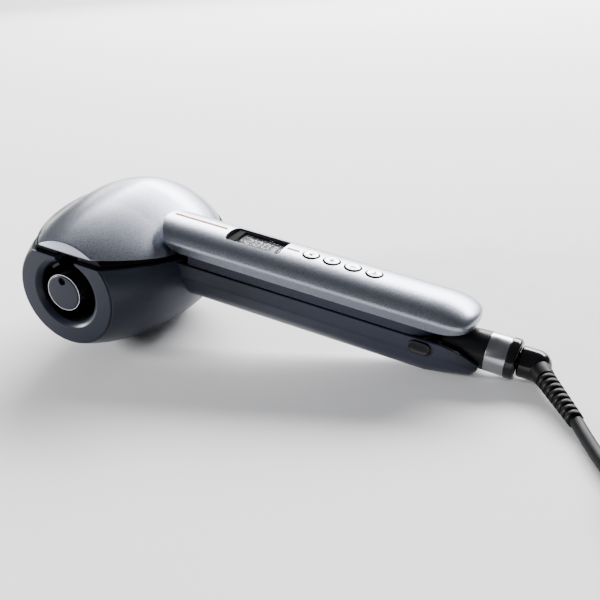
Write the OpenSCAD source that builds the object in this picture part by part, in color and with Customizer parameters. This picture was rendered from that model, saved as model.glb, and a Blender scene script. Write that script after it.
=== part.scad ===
// Automatic hair curler: a tong-shaped styler whose lower jaw holds a heated barrel inside an open
// chamber, with a motor-driven rotor that winds the hair, and whose upper jaw carries the controls.
// The body is drawn with its handle level (x = 0 on the barrel axis, +X towards the cord, -Y out of
// the mouth, +Z up) and on_table() then tips it to lie on its chamber and its rear collar.

/* [Head] */
// Radius of the round mouth face
face_r = 30.7; // [30:0.1:31.5]
// Distance of the mouth face in front of the handle's middle plane
face_out = 56; // [54:0.5:58]
// Height of the barrel axis against the handle's datum
drum_z = -15.8; // [-16.5:0.1:-15]
// Half width of the head at its widest
head_side = 55.6; // [53:0.1:58]
// Height of the head above its middle
head_up = 38.6; // [37:0.1:40]
// Depth of the head below its middle
head_down = 47; // [46:0.1:48]
// Where along Y the head is widest
wide_y = 17.6; // [14:0.1:20]
// Where along Y the back of the head ends
back_y = 70; // [66:0.5:74]
// Wall thickness of the moulded covers
wall = 2.2; // [1.8:0.1:2.4]

/* [Jaws] */
// Height of the upper cover's lower edge on the head
brim_z = 8; // [7.6:0.1:8.4]
// Height of the lower housing's flat deck
deck_z = 3.5; // [3.2:0.1:3.6]
// Width of the slot that lets hair drop into the chamber
slot_w = 13; // [11:0.5:14]

/* [Chamber] */
// Radius of the curl chamber
chamber_r = 18.4; // [18.2:0.1:18.6]
// Radius of the heated barrel
barrel_r = 10; // [9:0.1:10.2]
// Radius of the barrel's front cap
cap_r = 10.7; // [10.4:0.1:11]
// Distance of the barrel's axis from the middle of the mouth
barrel_x = -1.6; // [-1.7:0.1:0]
// Width of the rotor's hair hook
hook_w = 5.5; // [4:0.5:6.5]

/* [Upper arm] */
// Half width of the upper arm
arm_half = 18; // [17.5:0.1:18.4]
// Height of the upper arm's crest
crest_z = 21.5; // [21:0.1:22]
// Height of the edge between the crown and the side band
edge_z = 12.4; // [12:0.1:13]
// Height of the side band's lower edge
band_z = 7.5; // [7.3:0.1:7.7]
// Where along X the rounded tail ends
tail_x = 217; // [215:0.5:218]

/* [Controls] */
// Distance from the barrel axis to the first button
button_x = 121.4; // [120:0.1:123]
// Spacing of the buttons
button_pitch = 12.3; // [12:0.1:12.6]
// Radius of a button
button_r = 4.3; // [4:0.1:4.5]
// Travel of a button
button_travel = 0.6; // [0.4:0.1:0.8]
// Length of the display opening
display_l = 32; // [30:0.5:33]
// Width of the display opening
display_w = 17; // [15:0.5:17.5]

/* [Lower arm] */
// Half width of the lower arm at its crease
lower_half = 16.4; // [16:0.1:17]
// Height of the lower arm's top edge
rail_z = 0.8; // [0.4:0.1:0.9]
// Depth of the lower arm's underside
keel_z = -21.2; // [-21.6:0.1:-20.8]

/* [Hinge] */
// Distance from the barrel axis to the jaw hinge
hinge_x = 193; // [192:0.5:194]
// Height of the jaw hinge
hinge_z = -3.7; // [-4:0.1:-3.5]
// Radius of the hinge pin
pin_r = 2; // [1.8:0.1:2.2]

/* [Rear] */
// Height of the axis that the collar and the cord swivel share
tube_z = -2.6; // [-3:0.1:-2.4]
// Where along X the steel collar starts
collar_x = 225; // [224.5:0.5:226]
// Length of the steel collar
collar_l = 10.7; // [10:0.1:11]
// Radius of the steel collar
collar_r = 10.4; // [10.2:0.1:10.6]

/* [Gears] */
// Teeth on the rotor's ring gear
rotor_teeth = 34; // [32:2:34]
// Teeth on the idler
idler_teeth = 20; // [18:1:22]
// Teeth on the motor pinion
pinion_teeth = 12; // [12:1:14]
// Gear module
gear_module = 0.9; // [0.88:0.01:0.92]

/* [Cord] */
// Diameter of the cord
cord_d = 6.5; // [6:0.1:7]
// Mean diameter of the coil's turns
coil_d = 78; // [72:1:80]

/* [Hidden] */
$fn = 64;

silver = "#b4b8c0";
slate = "#3a3d48";
black = "#17181b";
steel = "#c4c6c8";
copper = "#c98566";
green = "#1f5a3c";
white = "#e6e7ea";

// The rest pose: tilt about Y, and the shift that puts the floor at z = 0 under the body's middle
rest_tilt = 10.9;
end_x = collar_x + collar_l + 5.3;
cap_edge_r = collar_r + 0.5;
cap_round = 2;
floor_lift = (end_x - cap_round) * sin(rest_tilt) + (cap_edge_r - cap_round - tube_z) * cos(rest_tilt)
  + cap_round;
back_trim = 0.3;
middle_x = 97.7;
middle_y = (back_y - back_trim - face_out) / 2;

face_y = -face_out;
ring_flange = 0.8;
ring_spigot = 3;
liner_back_y = -10;
gear_back_y = -3;
gear_front_y = -8;
plate_t = 3;
barrel_back_y = 1;

rotor_pitch_r = rotor_teeth * gear_module / 2;
idler_pitch_r = idler_teeth * gear_module / 2;
pinion_pitch_r = pinion_teeth * gear_module / 2;
idler_dir = 215;
pinion_dir = 110;
idler_c = [
  barrel_x + (rotor_pitch_r + idler_pitch_r) * cos(idler_dir),
  drum_z + (rotor_pitch_r + idler_pitch_r) * sin(idler_dir)
];
pinion_c = idler_c + (idler_pitch_r + pinion_pitch_r) * [cos(pinion_dir), sin(pinion_dir)];
idler_phase = idler_dir + 180 + 180 / idler_teeth;
pinion_lead = (idler_phase - pinion_dir) * idler_teeth / pinion_teeth;
pinion_phase = pinion_dir + 180 + 180 / pinion_teeth - pinion_lead;
motor_r = 11;
motor_l = 34;

tray_z = 2.8;
tray_half = 16.2;
tray_end_x = 200;
board_z = 11;
boss_top = 18.5;
display_x = 73.5;
window_z = 20;
screw_spots = [[112, 11.2], [112, -11.2], [165, 11.2], [165, -11.2]];

// The swivel's elbow, and the cord's route on the table where it isn't coiled
block_r = 8.2;
elbow_x = 249.5;
elbow = [
  elbow_x * cos(rest_tilt) + tube_z * sin(rest_tilt) - middle_x,
  -middle_y,
  tube_z * cos(rest_tilt) - elbow_x * sin(rest_tilt) + floor_lift
];
cord_r = cord_d / 2;
run_route = [
  [174, -45.5, 4.4], [179, -54, 3.8], [184, -62.5, 3.4], [189, -71, 3.3],
  [194, -79, 3.3], [199, -87.5, 3.5], [204.5, -96, 3.9], [209, -102.5, 4.2]
];
tail_route = [
  [304.5, -74, 10.75], [304.5, -62, 10.75], [304.5, -52, 10], [304.5, -43, 8], [304.5, -34, 5.7],
  [304.5, -25, 4], [304.5, -16, 3.4], [304.5, -7, 3.8], [304.5, 2, 5.2], [304.5, 9, 6.6]
];
coil_c = [252.5, -74];
coil_lift = 1;
coil_rows = 5;
coil_layers = 2;

function head_k(y) = min(max((y - face_y) / (wide_y - face_y), 0), 1);
function head_mid(y) = drum_z + 3.4 * head_k(y);
function head_power(y) = 2 - 0.2 * head_k(y);
// Reach of the head at y in one direction: the face's radius at the front, h where it is widest
function reach(y, h, t) =
  let (big = h - t, small = face_r - t)
  let (front = (wide_y - face_y) / sqrt(1 - pow(small / big, 2)), back = back_y - t - wide_y)
  let (u = y < wide_y ? (y - wide_y) / front : (y - wide_y) / back)
  big * sqrt(max(1 - u * u, 0));
function spow(v, p) = sign(v) * pow(abs(v), p);
// One point of the head's cross-section, at angle a from +X towards +Z
function head_point(y, a, t) =
  let (p = 2 / head_power(y), s = sin(a))
  [
    reach(y, head_side, t) * spow(cos(a), p),
    y,
    head_mid(y) + reach(y, s > 0 ? head_up : head_down, t) * spow(s, p)
  ];
// Angle at which the cross-section passes the height cut_z, or 89.5 where it stays below it
function cut_angle(y, cut_z, t) =
  let (c = (cut_z - head_mid(y)) / max(reach(y, head_up, t), 0.01))
  c >= 1 ? 89.5 : min(asin(pow(c, head_power(y) / 2)), 89.5);
// Where the head's top comes down to the height cut_z at the back
function cut_end(cut_z, t) =
  wide_y + (back_y - t - wide_y) * sqrt(1 - pow((cut_z - head_mid(wide_y)) / (head_up - t), 2));
function stations(y0, y1, front_n, back_n) = concat(
  [for (i = [0:front_n - 1]) y0 + (wide_y - y0) * i / front_n],
  [for (i = [0:back_n]) wide_y + (y1 - wide_y) * sin(90 * i / back_n)]
);
function floor_z(x) = (x * sin(rest_tilt) - floor_lift) / cos(rest_tilt);

// A solid through rings of points, closed by a flat cap at each end
module loft(rings) {
  n = len(rings[0]);
  m = len(rings);
  polyhedron(
    points = [for (r = rings) each r],
    faces = concat(
      [[for (i = [0:n - 1]) i]],
      [
        for (j = [0:m - 2]) for (i = [0:n - 1])
          let (a = j * n + i, b = j * n + (i + 1) % n)
          each [[a, a + n, b + n], [a, b + n, b]]
      ],
      [[for (i = [n - 1:-1:0]) (m - 1) * n + i]]
    )
  );
}

// Joins smooth moulded shapes into one closed surface
module moulded() resize([0, 0, 0]) children();

// Upper part of the head above cut_z, drawn in by t
module head_top(cut_z, t, y0, sides) {
  ys = stations(y0, cut_end(cut_z, t) - 0.15, 9, 10);
  loft([
    for (y = ys)
      let (a0 = cut_angle(y, cut_z, t))
      [for (i = [0:sides]) head_point(y, 180 - a0 - (180 - 2 * a0) * i / sides, t)]
  ]);
}

// Lower part of the head below cut_z, drawn in by t, flat where it meets the floor
module head_bottom(cut_z, t, y0, sides) {
  ys = stations(y0, back_y - t - back_trim, 9, 10);
  loft([
    for (y = ys)
      let (a0 = cut_angle(y, cut_z, t))
      [
        for (i = [0:sides])
          let (p = head_point(y, a0 - (180 + 2 * a0) * i / sides, t))
          [p.x, p.y, max(p.z, floor_z(p.x) + t)]
      ]
  ]);
}

// Puts what is drawn with a level handle on the table, with the origin under its middle
module on_table() translate([-middle_x, -middle_y, floor_lift]) rotate([0, rest_tilt, 0]) children();

// Turns +Z to face out of the mouth, from y_back on
module out_of_mouth(x, y_back, z) translate([x, y_back, z]) rotate([90, 0, 0]) children();

// Turns +Z to run along the handle, from x on
module along_handle(x, z) translate([x, 0, z]) rotate([0, 90, 0]) children();

module tube(r_out, r_in, h) difference() {
  cylinder(r = r_out, h = h);
  translate([0, 0, -1]) cylinder(r = r_in, h = h + 2);
}

module box(x, y, z) translate([x[0], y[0], z[0]]) cube([x[1] - x[0], y[1] - y[0], z[1] - z[0]]);

// Outline of straight teeth on a pitch circle
module gear_outline(teeth, phase) {
  r = teeth * gear_module / 2;
  step = 360 / teeth;
  root = r - 1.1 * gear_module;
  tip = r + 0.75 * gear_module;
  corners = [[-0.3, root], [-0.11, tip], [0.11, tip], [0.3, root]];
  polygon([
    for (i = [0:teeth - 1]) for (c = corners)
      c[1] * [cos(phase + (i + c[0]) * step), sin(phase + (i + c[0]) * step)]
  ]);
}

// A stadium outline of the given length and height
module stadium(l, h) {
  square([l - h, h], center = true);
  for (s = [-1, 1]) translate([s * (l - h) / 2, 0]) circle(d = h);
}

// ---- Lower jaw ----

module chamber_housing() color(slate) on_table() moulded() difference() {
  head_bottom(deck_z, 0, face_y + ring_flange, 34);
  intersection() {
    head_bottom(deck_z - wall, wall, face_y - 2, 34);
    box([-80, 80], [face_y - 3, back_y], [-80, deck_z - wall]);
  }
  out_of_mouth(0, liner_back_y + 0.5, drum_z) cylinder(r = chamber_r + 1.5, h = 60);
  box([-slot_w / 2, slot_w / 2], [face_y - 5, liner_back_y], [drum_z, deck_z + 5]);
  out_of_mouth(0, face_y + ring_flange + ring_spigot, drum_z) cylinder(r = face_r - wall + 0.1, h = 9);
  box([40, 80], [-11, 11], [-15, deck_z - wall - 0.5]);
}

module face_ring() color(slate) on_table() difference() {
  union() {
    out_of_mouth(0, face_y + ring_flange, drum_z) cylinder(r = face_r, h = ring_flange);
    out_of_mouth(0, face_y + ring_flange + ring_spigot, drum_z)
      cylinder(r = face_r - wall, h = ring_spigot + 0.1);
  }
  out_of_mouth(0, face_y + 10, drum_z) cylinder(r = chamber_r, h = 20);
  out_of_mouth(0, face_y + 1.2, drum_z) cylinder(r1 = chamber_r - 0.1, r2 = chamber_r + 1.3, h = 1.3);
  box([-slot_w / 2, slot_w / 2], [face_y - 5, face_y + 10], [drum_z, 30]);
  box([-40, 40], [face_y - 5, face_y + ring_flange], [deck_z + 0.5, 30]);
  box([-40, 40], [face_y + ring_flange - 0.1, face_y + 10], [deck_z - wall, 30]);
}

module chamber_liner() color(black) on_table() difference() {
  out_of_mouth(0, liner_back_y, drum_z)
    tube(chamber_r + 1.2, chamber_r, liner_back_y - face_y - ring_flange - ring_spigot);
  box([-slot_w / 2, slot_w / 2], [face_y, 0], [drum_z, 20]);
}

module heat_barrel() color("#2b2b30") on_table()
  out_of_mouth(barrel_x, barrel_back_y, drum_z)
    tube(barrel_r, barrel_r - 1.8, barrel_back_y - face_y - 2.5);

module barrel_cap() color(slate) on_table() difference() {
  union() {
    out_of_mouth(barrel_x, face_y + 2.5, drum_z) cylinder(r = cap_r, h = 2);
    out_of_mouth(barrel_x, face_y + 0.5, drum_z) cylinder(r1 = cap_r, r2 = cap_r - 0.5, h = 0.5);
    out_of_mouth(barrel_x, face_y + 5, drum_z) cylinder(r = barrel_r - 1.8, h = 3);
  }
  out_of_mouth(barrel_x - 0.7, face_y + 4, drum_z + 6.9) cylinder(r = 2.3, h = 10);
  out_of_mouth(barrel_x, face_y + 6, drum_z) cylinder(r = 4, h = 2.5);
}

module heater_core() color("#d8d4c8") on_table() difference() {
  out_of_mouth(barrel_x, -4, drum_z) cylinder(r = 7.6, h = 42);
  for (z = [-3.4, 3.4]) out_of_mouth(barrel_x, 0, drum_z + z) cylinder(r = 1.4, h = 60);
}

module thermal_fuse() color(steel) on_table() {
  out_of_mouth(barrel_x + 8, 16, drum_z + 8) cylinder(r = 2, h = 10);
  out_of_mouth(barrel_x + 8, 20, drum_z + 8) cylinder(r = 0.5, h = 4.1);
  out_of_mouth(barrel_x + 8, 6.1, drum_z + 8) cylinder(r = 0.5, h = 4);
}

module rotor_bush() color("#b9a06a") on_table() {
  out_of_mouth(barrel_x, gear_back_y + 1, drum_z) tube(11.9, 10.2, gear_back_y - gear_front_y + 1.4);
  out_of_mouth(barrel_x, gear_back_y + 1, drum_z) tube(14, 11.5, 0.6);
}

module gearbox_frame() color(steel) on_table() difference() {
  union() {
    out_of_mouth(barrel_x, 1, drum_z) cylinder(r = 17, h = plate_t);
    out_of_mouth(idler_c.x, 1, idler_c.y) cylinder(r = 8, h = plate_t);
    out_of_mouth(pinion_c.x, 1, pinion_c.y) cylinder(r = motor_r + 2, h = plate_t);
    for (s = [[-40, -16], [26, -30], [26, 0]])
      out_of_mouth(s.x, 1, s.y) cylinder(r = 4.5, h = plate_t);
    box([-40, -20], [-2, 1], [-20.5, -11.5]);
    box([8, 26], [-2, 1], [-34.5, 4.5]);
  }
  out_of_mouth(barrel_x, 5, drum_z) cylinder(r = barrel_r, h = 20);
  out_of_mouth(pinion_c.x, 5, pinion_c.y) cylinder(r = 4, h = 20);
  out_of_mouth(idler_c.x, 5, idler_c.y) cylinder(r = 1.5, h = 20);
  for (s = [[-40, -16], [26, -30], [26, 0]])
    out_of_mouth(s.x, 5, s.y) cylinder(r = 1.6, h = 20);
  box([-60, 60], [-5, 5], [deck_z - wall, 20]);
}

module motor() color("#8c9096") on_table() {
  out_of_mouth(pinion_c.x, 1 + motor_l, pinion_c.y) cylinder(r = motor_r, h = motor_l);
  out_of_mouth(pinion_c.x, 1, pinion_c.y) cylinder(r = 3.9, h = plate_t);
  out_of_mouth(pinion_c.x, 5 + motor_l, pinion_c.y) cylinder(r = 3, h = 4.1);
}

module gearbox_screws() color(steel) on_table()
  for (s = [[-40, -16], [26, -30]]) {
    out_of_mouth(s.x, 9, s.y) cylinder(r = 1.5, h = 13.5);
    out_of_mouth(s.x, -2, s.y) cylinder(r = 2.8, h = 1.6);
  }

module idler_axle() color(steel) on_table()
  out_of_mouth(idler_c.x, 1, idler_c.y) cylinder(r = 1.5, h = 10);

// ---- Lower arm ----

// Cross-section of the lower arm at x, drawn in by t, with its top edge at top_z
lower_start_x = 40;
lower_end_x = 223;
taper_x = 203;
function lower_k(x) = max((x - taper_x) / (lower_end_x - taper_x), 0);
function lower_ring(x, t, top_z) =
  let (k = lower_k(x), narrow = sqrt(1 - 0.55 * k * k))
  let (keel = max(keel_z + 11 * (1 - sqrt(1 - 0.98 * k * k)), floor_z(x) + 0.6) + t)
  let (top = top_z - 8 * k * k)
  let (right = [
    [lower_half - 0.8 - t, top], [lower_half - t, top - 0.35 * (top - keel)],
    [lower_half - 2.6 - t, keel + 0.27 * (top - keel)], [9.5 - t / 2, keel + 1.2], [4, keel]
  ])
  [
    for (p = right) [x, -p[0] * narrow, p[1]],
    for (i = [4:-1:0]) [x, right[i][0] * narrow, right[i][1]]
  ];
function lower_stations(x0, x1) = concat(
  [x0, 120],
  [for (i = [0:9]) taper_x - 10 + (x1 - taper_x + 10) * sin(9 * i + 9)]
);
module lower_solid(t, top_z, x0, x1)
  loft([for (x = lower_stations(x0, x1)) lower_ring(x, t, top_z)]);

module lower_arm_shell() color(slate) on_table() moulded() difference() {
  lower_solid(0, rail_z, lower_start_x, lower_end_x);
  lower_solid(wall, rail_z + 3, lower_start_x - 1, lower_end_x - wall);
  scale([1.001, 1.001, 1.001]) head_bottom(rail_z + 8, -0.02, face_y - 2, 34);
  along_handle(tray_end_x + 2, tube_z) cylinder(r = collar_r, h = 40);
  box([tray_end_x - 0.5, 240], [-9, 9], [-2, 5]);
  translate([hinge_x, 0, hinge_z]) rotate([90, 0, 0]) linear_extrude(50, center = true) stadium(13.8, 8.6);
}

module lower_arm_cover() color(black) on_table()
  box([54, hinge_x - 7], [-13.4, 13.4], [rail_z - 1.8, rail_z]);

module power_board() color(green) on_table() {
  box([74, 158], [-11, 11], [-11, -9.4]);
  box([80, 96], [-8, 4], [-9.4, -2.5]);
  box([102, 112], [-9, 1], [-9.4, -3.4]);
  for (x = [122, 133]) translate([x, 3, -9.4]) cylinder(r = 4, h = 6.4);
  box([142, 152], [-7, 7], [-9.4, -6]);
}

module micro_switch() color(black) on_table() {
  box([58, 70], [-3, 3], [-8, rail_z - 1.8]);
  box([60, 68], [-1.5, 1.5], [-12, -8]);
}

module supply_leads() color("#6b4a2c") on_table()
  for (y = [-2.5, 2.5]) translate([0, y, 0]) along_handle(159, -9) cylinder(r = 1.1, h = 43);

module hinge_bracket() color(steel) on_table() difference() {
  union() {
    box([hinge_x - 9, hinge_x + 7], [-9.8, 9.8], [-14, -12.5]);
    for (y = [-9.8, 7.2]) {
      translate([hinge_x, y + 2.6, hinge_z]) rotate([90, 0, 0]) cylinder(r = 4.2, h = 2.6);
      box([hinge_x - 4.2, hinge_x + 4.2], [y, y + 2.6], [-14, hinge_z]);
    }
    for (x = [-6, 3], z = max(keel_z, floor_z(hinge_x + x + 2.4) + 0.6) + wall + 0.9)
      translate([hinge_x + x, 0, z]) cylinder(r = 2.4, h = -13 - z);
  }
  translate([hinge_x, 20, hinge_z]) rotate([90, 0, 0]) cylinder(r = pin_r, h = 40);
}

module hinge_pin() color(steel) on_table()
  translate([hinge_x, 15, hinge_z]) rotate([90, 0, 0]) cylinder(r = pin_r, h = 30);

module hinge_caps() color(black) on_table()
  for (s = [-1, 1])
    translate([hinge_x, s * 16, hinge_z]) rotate([90, 0, 0]) {
      linear_extrude(1.9, center = true) stadium(13.4, 8.2);
      translate([0, 0, s > 0 ? 0 : -1]) cylinder(r = 2.6, h = 1);
    }

module torsion_spring() color(steel) on_table() {
  for (i = [0:3])
    translate([hinge_x, 10.4 + 0.95 * i, hinge_z]) rotate([90, 0, 0])
      rotate_extrude() translate([3, 0]) circle(r = 0.48, $fn = 16);
  translate([hinge_x - 3, 10.4, hinge_z]) rotate([0, -112, 0]) cylinder(r = 0.48, h = 12, $fn = 16);
  translate([hinge_x - 3, 13.25, hinge_z]) rotate([0, -84, 0]) cylinder(r = 0.48, h = 13, $fn = 16);
}

// ---- Rear end ----

module rear_neck() color(black) on_table() difference() {
  union() {
    along_handle(tray_end_x + 2.2, tube_z) cylinder(r1 = 8.6, r2 = collar_r - 0.7, h = 12);
    along_handle(tray_end_x + 14.1, tube_z)
      cylinder(r1 = collar_r - 0.7, r2 = collar_r - 0.1, h = collar_x - tray_end_x - 14.1);
    along_handle(collar_x, tube_z) cylinder(r = collar_r - 1.6, h = collar_l);
  }
  along_handle(200, tube_z) cylinder(r = 6.4, h = 50);
  translate([tray_end_x, -20, 2.4]) rotate([0, -7, 0]) cube([17, 40, 12]);
}

module steel_collar() color(steel) on_table()
  along_handle(collar_x, tube_z) tube(collar_r, collar_r - 1.6, collar_l);

// Rounded rear cap with the bore that the swivel turns in
swivel_r = 5;
module end_cap() color(black) on_table() along_handle(collar_x + collar_l, tube_z) rotate_extrude()
  polygon([
    [swivel_r + 0.06, 0], [collar_r, 0], [cap_edge_r, 0.5], [cap_edge_r, 3.3],
    for (a = [10:20:90]) [cap_edge_r - cap_round + cap_round * cos(a), 3.3 + cap_round * sin(a)],
    [swivel_r + 0.06, 3.3 + cap_round]
  ]);

// ---- Upper jaw ----

module head_cover() color(silver) on_table() moulded() difference() {
  head_top(brim_z, 0, face_y, 34);
  translate([0, 0, -0.01]) intersection() {
    head_top(brim_z - 2, wall, face_y + wall, 34);
    box([-80, 80], [-80, 80], [brim_z - 1, 60]);
  }
}

function brim_outline(t) =
  let (ys = stations(face_y + 0.3, cut_end(brim_z - 2, t) - 0.4, 9, 9), z = brim_z - 2)
  concat(
    [for (y = ys) [head_point(y, cut_angle(y, z, t), t).x, y]],
    [for (i = [len(ys) - 1:-1:0]) [-head_point(ys[i], cut_angle(ys[i], z, t), t).x, ys[i]]]
  );

module jaw_liner() color(black) on_table() difference() {
  translate([0, 0, deck_z + 1]) linear_extrude(brim_z - deck_z - 1) polygon(brim_outline(0.6));
  box([-slot_w / 2 - 0.5, slot_w / 2 + 0.5], [face_y - 1, liner_back_y], [0, brim_z - 1.6]);
  box([-18, 18], [-30, 40], [brim_z - 1.5, 20]);
}

// Cross-section of the upper arm at x: half width w, crown height h, bottom at base_z
arm_start_x = 31;
tail_round = 25;
function tail_k(x, t) = max((x - tail_x + tail_round) / (tail_round - t), 0);
function arm_width(x, t) = (arm_half - t) * pow(max(1 - pow(tail_k(x, t), 2.3), 0), 1 / 2.3);
function arm_crest(x, t) =
  edge_z - t / 2 + (crest_z - edge_z - t / 2) * sqrt(max(1 - 0.6 * pow(tail_k(x, t), 2), 0));
function arm_ring(x, t, base_z, bow) =
  let (w = arm_width(x, t), h = arm_crest(x, t), e = edge_z - t / 2, p = 2 / 2.3)
  let (foot = base_z + 3.4 * pow(tail_k(x, t), 2))
  let (section = concat(
    [[w - 0.9, foot]],
    [for (i = [0:22]) let (a = 180 * i / 22) [w * spow(cos(a), p), e + (h - e) * pow(sin(a), p)]],
    [[0.9 - w, foot]]
  ))
  [for (q = section) [x + bow * pow(q[0] / arm_half, 2), q[0], q[1]]];
function arm_stations(x0, x1) = concat(
  [x0, x0 + 9, 90, 140],
  [for (i = [0:11]) tail_x - tail_round + (x1 - tail_x + tail_round) * sin(90 * i / 11)]
);
module arm_solid(t, base_z, x0) {
  xs = arm_stations(x0, tail_x - t - 0.06);
  loft([for (i = [0:len(xs) - 1]) arm_ring(xs[i], t, base_z, i == 0 ? 8 : 0)]);
}

module upper_arm_shell() color(silver) on_table() moulded() difference() {
  union() {
    difference() {
      arm_solid(0, band_z, arm_start_x);
      arm_solid(wall, band_z - 1, arm_start_x + 4);
    }
    for (s = screw_spots)
      translate([s.x, s.y, band_z + 0.2]) cylinder(r = 2.6, h = boss_top - band_z - 0.2, $fn = 24);
  }
  head_top(brim_z - 4, -0.02, face_y, 34);
  for (i = [0:3])
    translate([button_x + i * button_pitch, 0, edge_z]) cylinder(r = button_r + 0.5, h = 20, $fn = 48);
  box([display_x, display_x + display_l], [-display_w / 2, display_w / 2], [edge_z, 30]);
  translate([display_x, 0, edge_z]) scale([0.28, 1, 1]) cylinder(d = display_w, h = 20, $fn = 40);
  box([arm_start_x + 3, display_x - 5], [1.4, 2.2], [crest_z - 0.35, 30]);
  box([display_x + display_l + 1.5, button_x - 7], [-0.4, 0.4], [crest_z - 0.35, 30]);
  for (s = screw_spots) translate([s.x, s.y, 0]) cylinder(r = 1.3, h = edge_z + 1, $fn = 24);
}

module upper_arm_tray() color(black) on_table() difference() {
  union() {
    box([54, tray_end_x - tray_half], [-tray_half, tray_half], [tray_z, band_z]);
    intersection() {
      translate([tray_end_x - tray_half, 0, tray_z]) cylinder(r = tray_half, h = band_z - tray_z);
      box([tray_end_x - tray_half, tray_end_x], [-20, 20], [0, 10]);
    }
  }
  box([56, tray_end_x - tray_half - 1], [1.8 - tray_half, tray_half - 1.8], [tray_z + 1.8, 20]);
  for (s = screw_spots) translate([s.x, s.y, 0]) cylinder(r = 1.25, h = 20);
}

module hinge_knuckle() color(black) on_table() difference() {
  union() {
    translate([hinge_x, 6.8, hinge_z]) rotate([90, 0, 0]) cylinder(r = 4.2, h = 13.6);
    box([hinge_x - 4.2, hinge_x + 4.2], [-6.8, 6.8], [hinge_z, tray_z]);
  }
  translate([hinge_x, 20, hinge_z]) rotate([90, 0, 0]) cylinder(r = pin_r + 0.05, h = 40);
}

// The display's width, drawn in by t on both sides
function across(t) = [t - display_w / 2, display_w / 2 - t];

module display_frame() color(black) on_table() difference() {
  union() {
    box([display_x + 0.2, display_x + display_l - 0.2], across(0.2), [window_z - 3, window_z]);
    intersection() {
      translate([display_x + 0.3, 0, window_z - 3]) scale([0.27, 1, 1])
        cylinder(d = display_w - 0.5, h = 2, $fn = 40);
      box([0, display_x + 0.25], [-20, 20], [0, 30]);
    }
  }
  box([display_x + 4, display_x + display_l - 1.4], across(1.6), [0, 30]);
}

module lcd_module() color("#aeb6b2") on_table()
  box([display_x + 2, display_x + display_l - 1], across(1.2), [window_z - 5.6, window_z - 3.1]);

module display_window() color([0.75, 0.8, 0.82, 0.4]) on_table()
  box([display_x + 4.1, display_x + display_l - 1.5], across(1.7), [window_z - 1.5, window_z - 0.3]);

module button_frame() color(black) on_table() difference() {
  box([button_x - 8, button_x + 3 * button_pitch + 8], [-6.5, 6.5], [15.4, 17.4]);
  for (i = [0:3])
    translate([button_x + i * button_pitch, 0, 0]) cylinder(r = button_r + 0.05, h = 40);
}

module control_board() color(green) on_table() {
  box([66, 178], [-7.8, 7.8], [board_z, board_z + 1.6]);
  box([84, 98], [-5, 5], [board_z - 2.4, board_z]);
  box([display_x + 6, display_x + 28], [-6, 6], [board_z + 1.6, window_z - 5.6]);
}

module tact_switches() color(steel) on_table()
  for (i = [0:3]) translate([button_x + i * button_pitch, 0, board_z + 1.6]) {
    translate([-3, -3, 0]) cube([6, 6, 1]);
    cylinder(r = 1.7, h = 1.4);
  }

module copper_trim() color(copper) on_table() {
  box([arm_start_x + 3.1, display_x - 5.1], [1.45, 2.15], [crest_z - 0.3, crest_z + 0.12]);
  box([display_x + display_l + 1.6, button_x - 7.1], [-0.35, 0.35], [crest_z - 0.3, crest_z + 0.12]);
}

module tray_screws() color(steel) on_table()
  for (s = screw_spots) translate([s.x, s.y, 0]) {
    translate([0, 0, tray_z + 1.9]) cylinder(r = 2.3, h = 1.4);
    translate([0, 0, tray_z + 0.4]) cylinder(r = 1.15, h = 9);
  }

// ---- Drive ----

module rotor_gear() color(white) on_table() difference() {
  out_of_mouth(barrel_x, gear_back_y, drum_z)
    linear_extrude(gear_back_y - gear_front_y) gear_outline(rotor_teeth, idler_dir);
  out_of_mouth(barrel_x, 0, drum_z) cylinder(r = 11.95, h = 20);
}

// Arm of the rotor that catches the hair: an arc between two radii, w degrees wide, about angle a
module rotor_arm(a, w, r0, r1, y0, y1)
  out_of_mouth(barrel_x, y1, drum_z) rotate([0, 0, a - w / 2]) rotate_extrude(angle = w)
    translate([r0, 0]) square([r1 - r0, y1 - y0]);

hook_angle = 128;
fin_angle = -22;
module hair_hook() color(black) on_table() {
  out_of_mouth(barrel_x, gear_front_y, drum_z) tube(16.4, 12.6, 2.4);
  rotor_arm(hook_angle, hook_w * 4, 14.6, 16.2, face_y + 6, gear_front_y - 1);
  rotor_arm(fin_angle, 8, 13.2, 16.2, face_y + 12, gear_front_y - 1);
}

module idler_gear() color(white) on_table() difference() {
  out_of_mouth(idler_c.x, gear_back_y, idler_c.y)
    linear_extrude(gear_back_y - gear_front_y) gear_outline(idler_teeth, idler_phase);
  out_of_mouth(idler_c.x, 5, idler_c.y) cylinder(r = 1.55, h = 20);
}

module motor_pinion() color("#c9a14a") on_table() {
  out_of_mouth(pinion_c.x, gear_back_y, pinion_c.y)
    linear_extrude(gear_back_y - gear_front_y) gear_outline(pinion_teeth, pinion_phase);
  out_of_mouth(pinion_c.x, gear_back_y + 0.6, pinion_c.y) cylinder(r = 1.6, h = 7.5);
}

// ---- Buttons ----

module button(i) color(white) on_table() translate([button_x + i * button_pitch, 0, 0]) {
  translate([0, 0, 16.2]) cylinder(r = button_r, h = crest_z + 0.1 - 16.2);
  translate([0, 0, crest_z + 0.1]) cylinder(r1 = button_r, r2 = button_r - 0.5, h = 0.5);
  translate([0, 0, board_z + 3 + button_travel + 0.15]) cylinder(r = 1.5, h = 2);
}
module button_1() button(0);
module button_2() button(1);
module button_3() button(2);
module button_4() button(3);

// ---- Cord ----

module swivel_block() color(black) on_table() {
  along_handle(end_x - 5.4, tube_z) cylinder(r = swivel_r, h = 6);
  along_handle(end_x + 0.35, tube_z) cylinder(r1 = block_r - 0.7, r2 = block_r, h = 0.8);
  along_handle(end_x + 1.1, tube_z) cylinder(r = block_r, h = elbow_x - end_x - 1.1);
  translate([elbow_x, 0, tube_z]) sphere(r = block_r);
}

module swivel_clip() color(steel) on_table() along_handle(end_x - 7.4, tube_z) tube(6, 2, 2);

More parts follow.
